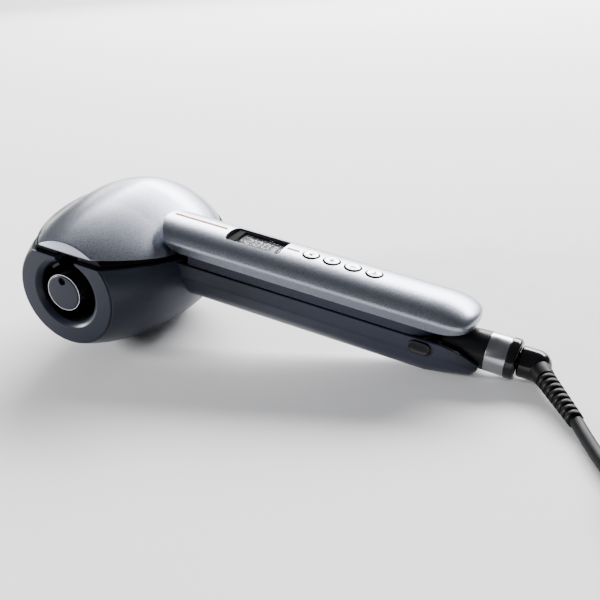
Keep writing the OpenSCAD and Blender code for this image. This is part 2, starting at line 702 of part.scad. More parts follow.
// Turns +Z to run from point a to point b
module from_to(a, b) {
  d = b - a;
  translate(a) rotate([0, acos(d.z / norm(d)), atan2(d.y, d.x)]) children();
}

rib_pitch = 4.2;
ribs = 8;
module strain_relief() color(black) {
  l = norm(run_route[0] - elbow);
  difference() {
    from_to(elbow, run_route[0]) rotate_extrude() polygon([
      [0, 2], [6.3, 2], [5.9, l - ribs * rib_pitch - 1],
      for (i = [0:ribs - 1])
        let (z = l - (ribs - i) * rib_pitch, r = 5.6 - 1.5 * i / ribs)
        each [[r - 0.8, z - 0.8], [r - 0.8, z], [r, z + 0.3], [r - 0.1, z + rib_pitch - 1.1]],
      [4, l], [0, l]
    ]);
    translate(elbow) sphere(r = block_r);
  }
}

function unit(v) = v / norm(v);
// A tube of radius r along a route
module swept(route, r, sides) {
  last = len(route) - 1;
  loft([
    for (i = [0:last])
      let (t = unit(route[min(i + 1, last)] - route[max(i - 1, 0)]))
      let (side = unit(cross(t, [0, 0, 1])), lift = cross(side, t))
      [
        for (k = [0:sides - 1])
          let (a = -360 * k / sides)
          route[i] + r * (side * cos(a) + lift * sin(a))
      ]
  ]);
}

module cord_run() color(black) swept(run_route, cord_r, 10);
module cord_tail() color(black) swept(tail_route, cord_r, 10);

coil_in = coil_d / 2 - coil_rows * cord_r;
coil_out = coil_d / 2 + coil_rows * cord_r;
coil_h = coil_layers * cord_d;
module cord_coil() color(black) translate([coil_c.x, coil_c.y, coil_lift]) tube(coil_out, coil_in, coil_h);

tie_dir = -60;
tie_w = 12;
module cord_tie() color(slate) translate([coil_c.x, coil_c.y, 0]) rotate([0, 0, tie_dir]) difference() {
  box([coil_in - 1.2, coil_out + 1.2], [-tie_w / 2, tie_w / 2], [0, coil_h + 2 * coil_lift]);
  translate([0, 0, coil_lift - 0.05]) tube(coil_out + 0.05, coil_in - 0.05, coil_h + 0.1);
}

plug_z = 7;
plug_y = 9;
plug_l = 38;
module plug_body() color(black) translate([304.5, plug_y, plug_z]) {
  rotate([-90, 0, 0]) cylinder(r1 = 4.2, r2 = 5.6, h = 12);
  translate([0, 0, 2 - plug_z + 0.2]) linear_extrude(2 * plug_z - 4.4) polygon([
    [-5.6, 9], [5.6, 9], [9, 14], [10, 28], [13, 33],
    [13, plug_l], [-13, plug_l], [-13, 33], [-10, 28], [-9, 14]
  ]);
  translate([0, 0, 0.2 - plug_z]) linear_extrude(2 * plug_z - 0.4) polygon([
    [-12, 34], [12, 34], [12, plug_l], [-12, plug_l]
  ]);
}

module plug_pins() color("#c9b06a")
  for (s = [-1, 1])
    translate([304.5 + s * 9.3, plug_y + plug_l, plug_z]) rotate([-90, 0, 0]) {
      cylinder(r = 2, h = 18);
      translate([0, 0, 18]) cylinder(r1 = 2, r2 = 1.2, h = 1);
    }

chamber_housing();
face_ring();
chamber_liner();
heat_barrel();
barrel_cap();
heater_core();
thermal_fuse();
rotor_bush();
gearbox_frame();
motor();
gearbox_screws();
idler_axle();
lower_arm_shell();
lower_arm_cover();
power_board();
micro_switch();
supply_leads();
hinge_bracket();
hinge_pin();
hinge_caps();
torsion_spring();
rear_neck();
steel_collar();
end_cap();
head_cover();
jaw_liner();
upper_arm_shell();
upper_arm_tray();
hinge_knuckle();
display_frame();
lcd_module();
display_window();
button_frame();
control_board();
tact_switches();
copper_trim();
tray_screws();
rotor_gear();
hair_hook();
idler_gear();
motor_pinion();
button_1();
button_2();
button_3();
button_4();
swivel_block();
swivel_clip();
strain_relief();
cord_run();
cord_coil();
cord_tail();
cord_tie();
plug_body();
plug_pins();
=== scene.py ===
import math

import bmesh
import bpy
from mathutils import Matrix, Vector


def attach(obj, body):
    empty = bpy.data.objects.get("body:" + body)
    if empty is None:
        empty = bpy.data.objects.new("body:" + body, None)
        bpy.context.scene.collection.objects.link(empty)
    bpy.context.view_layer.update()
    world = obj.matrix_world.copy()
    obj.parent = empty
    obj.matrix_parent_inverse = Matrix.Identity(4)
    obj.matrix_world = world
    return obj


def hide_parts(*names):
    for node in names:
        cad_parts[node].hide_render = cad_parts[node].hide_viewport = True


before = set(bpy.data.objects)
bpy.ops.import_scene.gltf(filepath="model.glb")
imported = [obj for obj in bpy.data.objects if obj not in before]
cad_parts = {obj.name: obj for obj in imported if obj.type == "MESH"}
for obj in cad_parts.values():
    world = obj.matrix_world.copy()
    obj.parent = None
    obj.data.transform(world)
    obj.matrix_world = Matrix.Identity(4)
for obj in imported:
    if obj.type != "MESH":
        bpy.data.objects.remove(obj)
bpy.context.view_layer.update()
MM = 0.001

# ---- camera
CAMERA_PLACE = Vector((231.06, -409.65, 235.82)) * MM
CAMERA_AZIMUTH = math.radians(28.07)
CAMERA_ELEVATION = math.radians(24.40)
CAMERA_ROLL = math.radians(5.2)


def make_camera():
    """The view: a turn about Z, a look down, and a small roll of the frame."""
    data = bpy.data.cameras.new("camera")
    data.sensor_width = 36.0
    data.lens = 54.0
    data.clip_start = 0.01
    data.clip_end = 50.0
    camera = bpy.data.objects.new("camera", data)
    bpy.context.scene.collection.objects.link(camera)
    ca, sa = math.cos(CAMERA_AZIMUTH), math.sin(CAMERA_AZIMUTH)
    ce, se = math.cos(CAMERA_ELEVATION), math.sin(CAMERA_ELEVATION)
    back = Vector((sa * ce, -ca * ce, se))
    level = Vector((ca, sa, 0.0))
    upright = back.cross(level)
    cr, sr = math.cos(CAMERA_ROLL), math.sin(CAMERA_ROLL)
    right = level * cr - upright * sr
    up = upright * cr + level * sr
    camera.matrix_world = Matrix.Translation(CAMERA_PLACE) @ Matrix((right, up, back)).transposed().to_4x4()
    bpy.context.scene.camera = camera


make_camera()

# ---- the device's own frame
# x = 0 on the mouth's axis, +X towards the cord, -Y out of the mouth, +Z up, in millimetres
REST_TILT = math.radians(10.9)

# Head: the mouth's plane, its ring's radius and its axis' height; the half-sizes at the widest station, to
# the handle's side, to the other side, up and down; the rise of its middle and the pinch of its sections on
# the way there; the widest and rearmost stations, what the rear is trimmed by, and the wall.
FACE_Y, FACE_R, DRUM_Z = -56.0, 30.7, -15.8
HEAD_SIDE, HEAD_LEFT, HEAD_UP, HEAD_DOWN = 55.6, 49.8, 38.6, 47.0
HEAD_RISE, HEAD_PINCH = 3.4, 0.2
WIDE_Y, BACK_Y, BACK_TRIM, WALL = 17.6, 70.0, 0.3, 2.2
SLOT_HALF, SLOT_END_Y = 6.5, -10.0
BARREL_X, CHAMBER_R, BARREL_R, CAP_R = -1.6, 18.4, 10.0, 10.7

# Parting line: the dome's edge and the lower head's edge, at the mouth and at the side. The dome stands
# proud by up to OVERHANG at the mouth.
BRIM_FRONT, BRIM_SIDE, BRIM_RUN, BRIM_CURVE = 10.3, 4.3, 42.0, 1.3
DECK_FRONT, DECK_SIDE, DECK_SLOPE = 5.0, 2.0, 0.075
OVERHANG, DOME_LIP, DOME_EDGE = 1.5, 0.7, 0.6

# Upper arm: half width, then the heights of its crest, its shoulder and its lower edge; its ends, the
# length of its nose and of its tail's curve; how the crest drops and the edge lifts over the tail, and the
# bow of its front end. Then the buttons, the display's opening and the arm's floor.
ARM_HALF, CREST_Z, EDGE_Z, BAND_Z = 18.0, 21.5, 12.4, 7.5
ARM_START_X, ARM_NOSE, TAIL_X, TAIL_ROUND = 31.0, 10.0, 217.0, 21.0
TAIL_DROP, TAIL_LIFT, ARM_BOW, BOW_RUN = 0.86, 3.4, 8.0, 30.0
BUTTON_X, BUTTON_PITCH, BUTTON_R, BUTTONS = 121.4, 12.3, 4.3, 4
DISPLAY_X, DISPLAY_L, DISPLAY_HALF, WINDOW_Z = 73.5, 32.0, 8.5, 20.0
TRAY_START_X, TRAY_END_X, TRAY_HALF, TRAY_Z, TRAY_WALL = 54.0, 200.0, 16.2, 1.8, 1.8

# Lower arm: its ends and where it starts to taper; half width, top and underside; the hinge's axis.
LOWER_START_X, TAPER_X, LOWER_END_X, TAPER_LEAD = 40.0, 203.0, 223.0, 10.0
LOWER_HALF, RAIL_Z, KEEL_Z = 16.4, 0.8, -21.2
HINGE_X, HINGE_Z = 193.0, -3.7

# Rear end: the tube's axis, the collar, the cap's edge, straight part and rounding, the swivel's block.
TUBE_Z, COLLAR_X, COLLAR_L, COLLAR_R = -2.6, 225.0, 10.7, 10.4
CAP_EDGE_R, CAP_STRAIGHT, CAP_ROUND = COLLAR_R + 0.5, 3.3, 2.0
END_X = COLLAR_X + COLLAR_L + CAP_STRAIGHT + CAP_ROUND
ELBOW_X, BLOCK_R = 249.5, 8.2

# At rest the handle slopes down until its rear cap meets the floor.
FLOOR_LIFT = (
    (END_X - CAP_ROUND) * math.sin(REST_TILT)
    + (CAP_EDGE_R - CAP_ROUND - TUBE_Z) * math.cos(REST_TILT)
    + CAP_ROUND
)
MIDDLE_X = 97.7
MIDDLE_Y = (BACK_Y - BACK_TRIM + FACE_Y) / 2
ON_TABLE = (
    Matrix.Scale(MM, 4)
    @ Matrix.Translation((-MIDDLE_X, -MIDDLE_Y, FLOOR_LIFT))
    @ Matrix.Rotation(REST_TILT, 4, "Y")
)
ELBOW = (Matrix.Scale(1 / MM, 4) @ ON_TABLE) @ Vector((ELBOW_X, 0, TUBE_Z))
WORLD_MM = Matrix.Scale(MM, 4)

# ---- mesh helpers
# A shape is a pair of lists: points in millimetres, and faces. Axes are a direction and a side.
OUT_OF_MOUTH = (Vector((0, -1, 0)), Vector((1, 0, 0)))
ALONG_HANDLE = (Vector((1, 0, 0)), Vector((0, 1, 0)))
UP = (Vector((0, 0, 1)), Vector((1, 0, 0)))
ALONG_PLUG = (Vector((0, 1, 0)), Vector((1, 0, 0)))

M = {}


def mesh_of(name, shape, place):
    """A mesh from a shape."""
    verts, faces = shape
    mesh = bpy.data.meshes.new(name)
    mesh.from_pydata([tuple(v) for v in verts], [], faces)
    mesh.transform(place)
    return mesh


def linked(name, data):
    """A new object in the scene."""
    obj = bpy.data.objects.new(name, data)
    bpy.context.scene.collection.objects.link(obj)
    return obj


def piece(name, shape, body, look, replaces=(), place=ON_TABLE, smooth=30.0):
    """A mesh object with a material, riding on a body."""
    mesh = mesh_of(name, shape, place)
    mesh.validate()
    mesh.update()
    obj = linked(name, mesh)
    mesh.materials.append(M[look])
    shade(obj, smooth)
    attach(obj, body)
    if replaces:
        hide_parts(*replaces)
    return obj


def outward(bm):
    """Turns every face outwards, by the sign of the volume."""
    bmesh.ops.recalc_face_normals(bm, faces=bm.faces)
    if bm.calc_volume(signed=True) < 0:
        bmesh.ops.reverse_faces(bm, faces=bm.faces)


def shade(obj, angle):
    """Smooth shading, with edges sharper than the angle kept sharp."""
    mesh = obj.data
    bm = bmesh.new()
    bm.from_mesh(mesh)
    bmesh.ops.remove_doubles(bm, verts=bm.verts, dist=1e-7)
    outward(bm)
    limit = math.radians(angle)
    for face in bm.faces:
        face.smooth = True
    for edge in bm.edges:
        edge.smooth = not (len(edge.link_faces) == 2 and edge.calc_face_angle(0.0) > limit)
    bm.to_mesh(mesh)
    bm.free()
    mesh.update()


def skin(rings):
    """The shape through equal rings of points, closed at both ends."""
    n, m = len(rings[0]), len(rings)
    verts = [p for ring in rings for p in ring]
    faces = []
    for j in range(m - 1):
        for i in range(n):
            a, b = j * n + i, j * n + (i + 1) % n
            faces.append((a, b, b + n, a + n))
    faces.append(tuple(range(n - 1, -1, -1)))
    faces.append(tuple((m - 1) * n + i for i in range(n)))
    return verts, faces


def lathe(profile, steps, centre, axes):
    """A closed profile of (distance along the axis, radius) pairs turned about the axis."""
    axis, side = axes
    up = axis.cross(side)
    verts = []
    for k in range(steps):
        a = 2 * math.pi * k / steps
        out = side * math.cos(a) + up * math.sin(a)
        verts += [centre + axis * s + out * r for s, r in profile]
    n = len(profile)
    faces = []
    for k in range(steps):
        q = (k + 1) % steps
        for i in range(n):
            j = (i + 1) % n
            if profile[i][1] > 0 or profile[j][1] > 0:
                faces.append((k * n + i, k * n + j, q * n + j, q * n + i))
    return verts, faces


def block(x, y, z):
    """A box between three ranges."""
    low = [[x[0], y[0], z[0]], [x[1], y[0], z[0]], [x[1], y[1], z[0]], [x[0], y[1], z[0]]]
    return skin([low, [[p[0], p[1], z[1]] for p in low]])


def rod(centre, axes, radius, length, steps=72):
    """A cylinder from centre along the axis."""
    axis, side = axes
    up = axis.cross(side)
    turn = [2 * math.pi * k / steps for k in range(steps)]
    ring = [side * math.cos(a) * radius + up * math.sin(a) * radius for a in turn]
    return skin([[centre + p for p in ring], [centre + p + axis * length for p in ring]])


def prism(outline, z0, z1):
    """An upright shape over an outline in plan."""
    return skin([[(p[0], p[1], z) for p in outline] for z in (z0, z1)])


def joined(shapes):
    """One shape out of several."""
    verts, faces = [], []
    for v, f in shapes:
        faces += [tuple(i + len(verts) for i in face) for face in f]
        verts += v
    return verts, faces


def rounded(points, radii, steps=4):
    """A closed outline with each corner turned into a curve that starts its own radius away."""
    out = []
    n = len(points)
    for i, p in enumerate(points):
        p = Vector(p)
        a, b = Vector(points[i - 1]) - p, Vector(points[(i + 1) % n]) - p
        r = radii[i] if isinstance(radii, (list, tuple)) else radii
        if r <= 0:
            out.append(p)
            continue
        away = min(r, 0.48 * a.length, 0.48 * b.length)
        start, end = p + a.normalized() * away, p + b.normalized() * away
        for k in range(steps + 1):
            t = k / steps
            out.append((1 - t) ** 2 * start + 2 * t * (1 - t) * p + t * t * end)
    return out


def bake(obj):
    """Turns an object's modifiers into its mesh."""
    bpy.context.view_layer.update()
    depsgraph = bpy.context.evaluated_depsgraph_get()
    mesh = bpy.data.meshes.new_from_object(obj.evaluated_get(depsgraph))
    obj.modifiers.clear()
    obj.data = mesh


def cutter(shape):
    """An object for cut(), which removes it afterwards."""
    mesh = mesh_of("tool", shape, ON_TABLE)
    bm = bmesh.new()
    bm.from_mesh(mesh)
    outward(bm)
    bm.to_mesh(mesh)
    bm.free()
    return linked("tool", mesh)


def cut(obj, *shapes):
    """Takes the shapes' volume out of the object, and drops the empty material slots that this adds."""
    for shape in shapes:
        tool = cutter(shape)
        mod = obj.modifiers.new("cut", "BOOLEAN")
        mod.operation = "DIFFERENCE"
        mod.solver = "MANIFOLD"
        mod.object = tool
        bake(obj)
        bpy.data.objects.remove(tool)
    slots = obj.data.materials
    for i in reversed(range(len(slots))):
        if slots[i] is None:
            slots.pop(index=i)


def bevel(obj, width, angle=50, segments=3):
    """Rounds an object's sharp edges, and weighs its normals so that flat faces stay flat."""
    mod = obj.modifiers.new("bevel", "BEVEL")
    mod.width = width * MM
    mod.segments = segments
    mod.limit_method = "ANGLE"
    mod.angle_limit = math.radians(angle)
    bake(obj)
    shade(obj, 30.0)
    obj.modifiers.new("weigh", "WEIGHTED_NORMAL").keep_sharp = True
    bake(obj)


def repaint(obj, look, chosen):
    """Gives a second material to the faces chosen by their middle and normal, in the device's frame."""
    obj.data.materials.append(M[look])
    last = len(obj.data.materials) - 1
    back = ON_TABLE.inverted()
    turn = back.to_3x3().normalized()
    for face in obj.data.polygons:
        if chosen(back @ face.center, turn @ face.normal):
            face.material_index = last


def spow(v, p):
    """A power that keeps its base's sign."""
    return math.copysign(abs(v) ** p, v)


def clamp(v):
    """A value held between 0 and 1."""
    return min(max(v, 0.0), 1.0)


def ease(t):
    """A soft step from 0 to 1."""
    t = clamp(t)
    return t * t * (3 - 2 * t)


# ---- the head's form
# An egg whose sections grow from the round mouth to the widest station, pinching a little, then close. In
# all of these, t is how far a point is drawn in from the outer skin.
STEEPEST = math.radians(89.5)


def head_k(y):
    """How far a station has come from the mouth (0) to the widest place (1)."""
    return clamp((y - FACE_Y) / (WIDE_Y - FACE_Y))


def head_mid(y):
    """Height of a section's middle."""
    return DRUM_Z + HEAD_RISE * head_k(y)


def head_power(y):
    """Power of a section's superellipse."""
    return 2 - HEAD_PINCH * head_k(y)


def reach(y, h, t):
    """Half-size of the section at y, in a direction whose largest half-size is h."""
    big, small = h - t, FACE_R - t
    front = (WIDE_Y - FACE_Y) / math.sqrt(1 - (small / big) ** 2)
    back = BACK_Y - t - WIDE_Y
    u = (y - WIDE_Y) / (front if y < WIDE_Y else back)
    return big * math.sqrt(max(1 - u * u, 0.0))


def head_point(y, a, t):
    """The point of a section at an angle from +X."""
    p, s = 2 / head_power(y), math.sin(a)
    side = HEAD_SIDE if math.cos(a) > 0 else HEAD_LEFT
    x = reach(y, side, t) * spow(math.cos(a), p)
    return Vector((x, y, head_mid(y) + reach(y, HEAD_UP if s > 0 else HEAD_DOWN, t) * spow(s, p)))


def cut_angle(y, cut_z, t):
    """The angle at which a section reaches a height."""
    c = (cut_z - head_mid(y)) / max(reach(y, HEAD_UP, t), 0.01)
    return STEEPEST if c >= 1 else min(math.asin(c ** (head_power(y) / 2)), STEEPEST)


def cut_end(cut_z, t):
    """The last station whose section still reaches a height."""
    c = (cut_z - head_mid(WIDE_Y)) / (HEAD_UP - t)
    return WIDE_Y + (BACK_Y - t - WIDE_Y) * math.sqrt(1 - c**2)


def edge_x(y, z):
    """How far out the head's skin is at a height."""
    return head_point(y, cut_angle(y, z, 0), 0).x


def floor_z(x):
    """Height of the floor in the device's frame."""
    return (x * math.sin(REST_TILT) - FLOOR_LIFT) / math.cos(REST_TILT)


def closing(x0, x1, n):
    """Stations that crowd towards x1, for a form that closes there."""
    return [x0 + (x1 - x0) * math.sin(math.pi / 2 * i / n) for i in range(n + 1)]


def stations(y0, y1, front_n, back_n):
    """The head's stations: even to the widest place, then closing."""
    return [y0 + (WIDE_Y - y0) * i / front_n for i in range(front_n)] + closing(WIDE_Y, y1, back_n)


def brim(y):
    """Height of the dome's lower edge, which dips from the mouth towards the arm."""
    return BRIM_SIDE + (BRIM_FRONT - BRIM_SIDE) * clamp(1 - (y - FACE_Y) / BRIM_RUN) ** BRIM_CURVE


def deck(y):
    """Height of the lower head's upper edge."""
    return max(DECK_FRONT - DECK_SLOPE * (y - FACE_Y), DECK_SIDE)


# ---- materials
MOTTLE_SCALE = 60.0


def node(tree, kind, **sockets):
    """A shader node with some of its sockets or properties set."""
    n = tree.nodes.new(kind)
    for key, value in sockets.items():
        if key in n.inputs:
            n.inputs[key].default_value = value
        else:
            setattr(n, key, value)
    return n


def wire(tree, a, out, b, into):
    """Joins two nodes."""
    tree.links.new(a.outputs[out], b.inputs[into])


def material(
    name, colour, roughness, grain, mottle=0.0, rough_mottle=0.05, metallic=0.0, specular=0.5, coat=0.0,
    coat_roughness=0.05, stretch=None, anisotropic=0.0,
):
    """A surface whose colour and gloss drift across it. Its grain is how much that shades the colour, its
    scale, and its depth in millimetres; stretch turns and scales it."""
    amount, scale, depth = grain
    mat = bpy.data.materials.new(name)
    mat.use_nodes = True
    tree = mat.node_tree
    shader = tree.nodes["Principled BSDF"]
    shader.inputs["Roughness"].default_value = roughness
    shader.inputs["Metallic"].default_value = metallic
    shader.inputs["Specular IOR Level"].default_value = specular
    shader.inputs["Coat Weight"].default_value = coat
    shader.inputs["Coat Roughness"].default_value = coat_roughness
    shader.inputs["Anisotropic"].default_value = anisotropic
    coords = node(tree, "ShaderNodeTexCoord")
    mapping = node(tree, "ShaderNodeMapping")
    wire(tree, coords, "Object", mapping, "Vector")
    if stretch:
        mapping.inputs["Rotation"].default_value = stretch[0]
        mapping.inputs["Scale"].default_value = stretch[1]
    fine = node(tree, "ShaderNodeTexNoise", Scale=scale, Detail=2.0)
    slow = node(tree, "ShaderNodeTexNoise", Scale=MOTTLE_SCALE, Detail=3.0)
    wire(tree, mapping, "Vector", fine, "Vector")
    wire(tree, coords, "Object", slow, "Vector")
    spread = amount + mottle
    ramp = node(tree, "ShaderNodeValToRGB")
    low, high = ramp.color_ramp.elements
    low.position, high.position = 0.25, 0.75
    low.color = [c * (1 - spread) for c in colour] + [1]
    high.color = [min(c * (1 + spread), 1) for c in colour] + [1]
    blend = node(tree, "ShaderNodeMix", data_type="FLOAT")
    blend.inputs[0].default_value = mottle / spread
    wire(tree, fine, "Fac", blend, 2)
    wire(tree, slow, "Fac", blend, 3)
    wire(tree, blend, 0, ramp, "Fac")
    wire(tree, ramp, "Color", shader, "Base Color")
    gloss = node(tree, "ShaderNodeMapRange")
    gloss.inputs["From Min"].default_value = 0.3
    gloss.inputs["From Max"].default_value = 0.7
    gloss.inputs["To Min"].default_value = max(roughness - rough_mottle, 0.02)
    gloss.inputs["To Max"].default_value = min(roughness + rough_mottle, 1.0)
    wire(tree, blend, 0, gloss, "Value")
    wire(tree, gloss, "Result", shader, "Roughness")
    bump = node(tree, "ShaderNodeBump", Strength=1.0, Distance=depth * MM)
    wire(tree, fine, "Fac", bump, "Height")
    wire(tree, bump, "Normal", shader, "Normal")
    M[name] = mat
    return mat


def make_materials():
    """Every surface of the device."""
    satin, mould, polish = (0.15, 4200, 0.004), (0.2, 2600, 0.004), (0.1, 900, 0.001)
    metal = (0.06, 1500, 0.003)
    brushed = ((0.0, -REST_TILT, 0.0), (5.0, 0.12, 0.12))
    material(
        "silver", (0.28, 0.295, 0.35), 0.30, (0.28, 2800, 0.019), 0.02, metallic=0.92, coat=0.1,
        coat_roughness=0.15,
    )
    material("slate", (0.018, 0.021, 0.035), 0.36, satin, 0.05, 0.04, specular=0.26)
    # Darker, duller slate: painted shade on the lower head's top, in the gap under the dome's edge; the lower
    # arm's cover is kept in it too.
    material("deck", (0.010, 0.012, 0.022), 0.6, satin, 0.05, 0.04, specular=0.04)
    material("face", (0.011, 0.013, 0.023), 0.30, (0.15, 4200, 0.003), 0.05, 0.04, specular=0.18)
    material("black", (0.004, 0.004, 0.005), 0.34, (0.2, 2600, 0.006), 0.1, 0.06, specular=0.2)
    material("gloss_black", (0.003, 0.003, 0.004), 0.14, polish, 0.1, 0.03, specular=0.4)
    material("sole", (0.002, 0.002, 0.0025), 0.34, polish, 0.1, 0.03, specular=0.12)
    # Matte black: the keys' marks and the display's frame, and also painted shade on the button holes' walls
    # and rims and on the keys' sides.
    material("matte_black_and_painted_shade", (0.003, 0.003, 0.0035), 0.6, mould, 0.1, specular=0.02)
    material("chamber", (0.005, 0.005, 0.006), 0.30, (0.2, 1800, 0.006), 0.2, 0.08)
    material("barrel", (0.022, 0.022, 0.026), 0.28, (0.25, 3800, 0.003), 0.1, metallic=0.4)
    material(
        "steel", (0.36, 0.37, 0.39), 0.24, (0.06, 700, 0.0006), 0.01, 0.01, metallic=1.0, stretch=brushed,
        anisotropic=0.5,
    )
    material("bright", (0.66, 0.66, 0.67), 0.22, metal, 0.05, 0.08, metallic=1.0)
    material("brass", (0.62, 0.44, 0.18), 0.26, metal, 0.06, 0.08, metallic=1.0)
    material("bearing", (0.44, 0.33, 0.15), 0.5, (0.1, 1500, 0.01), 0.08)
    material("gear", (0.74, 0.74, 0.70), 0.45, (0.04, 1500, 0.006), 0.05)
    material("board", (0.012, 0.10, 0.045), 0.35, (0.35, 700, 0.02), 0.2, coat=0.3)
    material("heater", (0.66, 0.63, 0.55), 0.7, (0.08, 1400, 0.02), 0.06)
    material("copper", (0.50, 0.14, 0.075), 0.5, (0.08, 3000, 0.003), 0.03, specular=0.05)
    material(
        "button", (0.74, 0.75, 0.77), 0.26, (0.06, 3600, 0.003), 0.02, metallic=0.25, coat=0.4,
        coat_roughness=0.08,
    )
    material("lcd", (0.12, 0.125, 0.135), 0.5, (0.03, 4000, 0.002), 0.05, specular=0.1)
    material("segment", (0.86, 0.88, 0.90), 0.5, (0.02, 4000, 0.001), 0.02)
    material("rubber", (0.003, 0.003, 0.0035), 0.42, (0.2, 2200, 0.012), 0.15, 0.08, specular=0.11)
    material("cable", (0.0035, 0.0035, 0.004), 0.44, (0.2, 2000, 0.015), 0.15, 0.08, specular=0.11)
    material("tie", (0.030, 0.032, 0.040), 0.75, (0.4, 1600, 0.06), 0.15, 0.1)
    glass = material("window", (0.97, 0.97, 0.98), 0.06, (0.01, 800, 0.0005))
    shader = glass.node_tree.nodes["Principled BSDF"]
    shader.inputs["Transmission Weight"].default_value = 1.0
    shader.inputs["IOR"].default_value = 1.02


make_materials()

# ---- cord, in the row's own millimetres
CORD_D, CORD_LENGTH = 6.5, 2.5
RUN_ROUTE = [
    (174, -45.5, 4.4), (179, -54, 3.8), (184, -62.5, 3.4), (189, -71, 3.3),
    (194, -79, 3.3), (199, -87.5, 3.5), (204.5, -96, 3.9), (209, -102.5, 4.2),
]
TAIL_ROUTE = [
    (304.5, -74, 10.75), (304.5, -62, 10.75), (304.5, -52, 10), (304.5, -43, 8), (304.5, -34, 5.7),
    (304.5, -25, 4), (304.5, -16, 3.4), (304.5, -7, 3.8), (304.5, 2, 5.2), (304.5, 9, 6.6),
]
COIL_CENTRE = Vector((252.5, -74.0, 0.0))
COIL_R, COIL_RINGS, COIL_LOW_Z = 52.0, 5, 4.25
COIL_INNER_R = COIL_R - CORD_D * (COIL_RINGS - 1)
# In turns: where the upper layer starts, the coil's end, the points in each; then, as parts of a turn,
# where a lower ring steps in, how long an upper ring's step takes, and the climb's start and length.
UPPER_START, COIL_TURNS, POINTS_PER_TURN = 5.41, 9.41, 40
STEP_START, UPPER_STEP, CLIMB_START, CLIMB_RUN = 0.8, 0.2, 0.42, 0.46
SPAN_POINTS = 3


def coil_point(turn):
    """Place on the coil after a number of turns: rings inwards, a climb, then rings outwards on top."""
    start = math.atan2(RUN_ROUTE[-1][1] - COIL_CENTRE.y, RUN_ROUTE[-1][0] - COIL_CENTRE.x)
    ring = int(turn)
    part = turn - ring
    height = COIL_LOW_Z
    if ring < COIL_RINGS - 1:
        radius = COIL_R - CORD_D * (ring + ease((part - STEP_START) / (1 - STEP_START)))
    elif ring < COIL_RINGS:
        radius = COIL_INNER_R
        height += CORD_D * ease((part - CLIMB_START) / CLIMB_RUN)
    else:
        over = max(turn - UPPER_START, 0.0)
        ring = math.floor(over)
        radius = min(COIL_INNER_R + CORD_D * (ring + ease((over - ring) / UPPER_STEP)), COIL_R)
        height += CORD_D
    a = start + 2 * math.pi * turn
    return COIL_CENTRE + Vector((radius * math.cos(a), radius * math.sin(a), height))


def smooth_route(points):
    """A Catmull-Rom curve through a route's points."""
    pts = [Vector(p) for p in points]
    ends = [2 * pts[0] - pts[1]] + pts + [2 * pts[-1] - pts[-2]]
    out = []
    for i in range(1, len(ends) - 2):
        a, b, c, d = ends[i - 1 : i + 3]
        for k in range(SPAN_POINTS):
            t = k / SPAN_POINTS
            square, cube = 2 * a - 5 * b + 4 * c - d, 3 * b - a - 3 * c + d
            out.append(0.5 * (2 * b + (c - a) * t + square * t * t + cube * t**3))
    return out + [pts[-1]]


def cord_path():
    """The lead's middle line, from inside the sleeve to the plug."""
    lead_in = ELBOW.lerp(Vector(RUN_ROUTE[0]), 0.55)
    total = int(COIL_TURNS * POINTS_PER_TURN)
    coil = [coil_point(COIL_TURNS * i / total) for i in range(1, total)]
    return smooth_route([lead_in] + RUN_ROUTE) + coil + smooth_route(TAIL_ROUTE)


def make_cord():
    """The lead, as one round curve."""
    path = cord_path()
    curve = bpy.data.curves.new("lead", "CURVE")
    curve.dimensions = "3D"
    curve.bevel_depth = CORD_D / 2 * MM
    curve.bevel_resolution = 7
    curve.use_fill_caps = True
    spline = curve.splines.new("POLY")
    spline.points.add(len(path) - 1)
    for point, place in zip(spline.points, path):
        point.co = (*(place * MM), 1.0)
    spline.use_smooth = True
    curve.materials.append(M["cable"])
    obj = linked("lead", curve)
    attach(obj, "cord_swivel")
    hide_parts("cord_run", "cord_coil", "cord_tail")
    return obj, path


RIB_PITCH, RIBS, RIB_R, RIB_TAPER = 4.2, 8, 5.0, 1.1


def make_relief():
    """The ribbed sleeve that tapers from the elbow to the cord."""
    start, end = ELBOW, Vector(RUN_ROUTE[0])
    axis = (end - start).normalized()
    length = (end - start).length
    first = length - RIBS * RIB_PITCH
    profile = [
        (2.0, 0.0), (2.0, 6.1), (4.0, 6.1), (first - 2.2, 5.3), (first - 1.0, 5.1), (first - 0.7, 4.6),
    ]
    for i in range(RIBS):
        z, r = first + i * RIB_PITCH, RIB_R - RIB_TAPER * i / RIBS
        far = z + RIB_PITCH
        profile += [
            (z - 0.5, r - 0.85), (z - 0.1, r - 0.85), (z + 0.1, r - 0.3), (z + 0.45, r),
            (z + 1.6, r + 0.02), (far - 1.5, r - 0.1), (far - 1.15, r - 0.4), (far - 1.0, r - 0.9),
        ]
    profile += [(length - 0.3, 3.9), (length, 3.6), (length, 0.0)]
    axes = (axis, axis.cross(Vector((0, 0, 1))).normalized())
    shape = lathe(profile, 56, start, axes)
    piece("relief_sleeve", shape, "cord_swivel", "rubber", ["strain_relief"], WORLD_MM, 40)


STRAP_TURN = math.radians(-60)
STRAP_IN_R, STRAP_OUT_R, STRAP_TOP, STRAP_T, STRAP_HALF, STRAP_EDGE = 22.75, 55.25, 14.0, 0.9, 5.6, 0.3


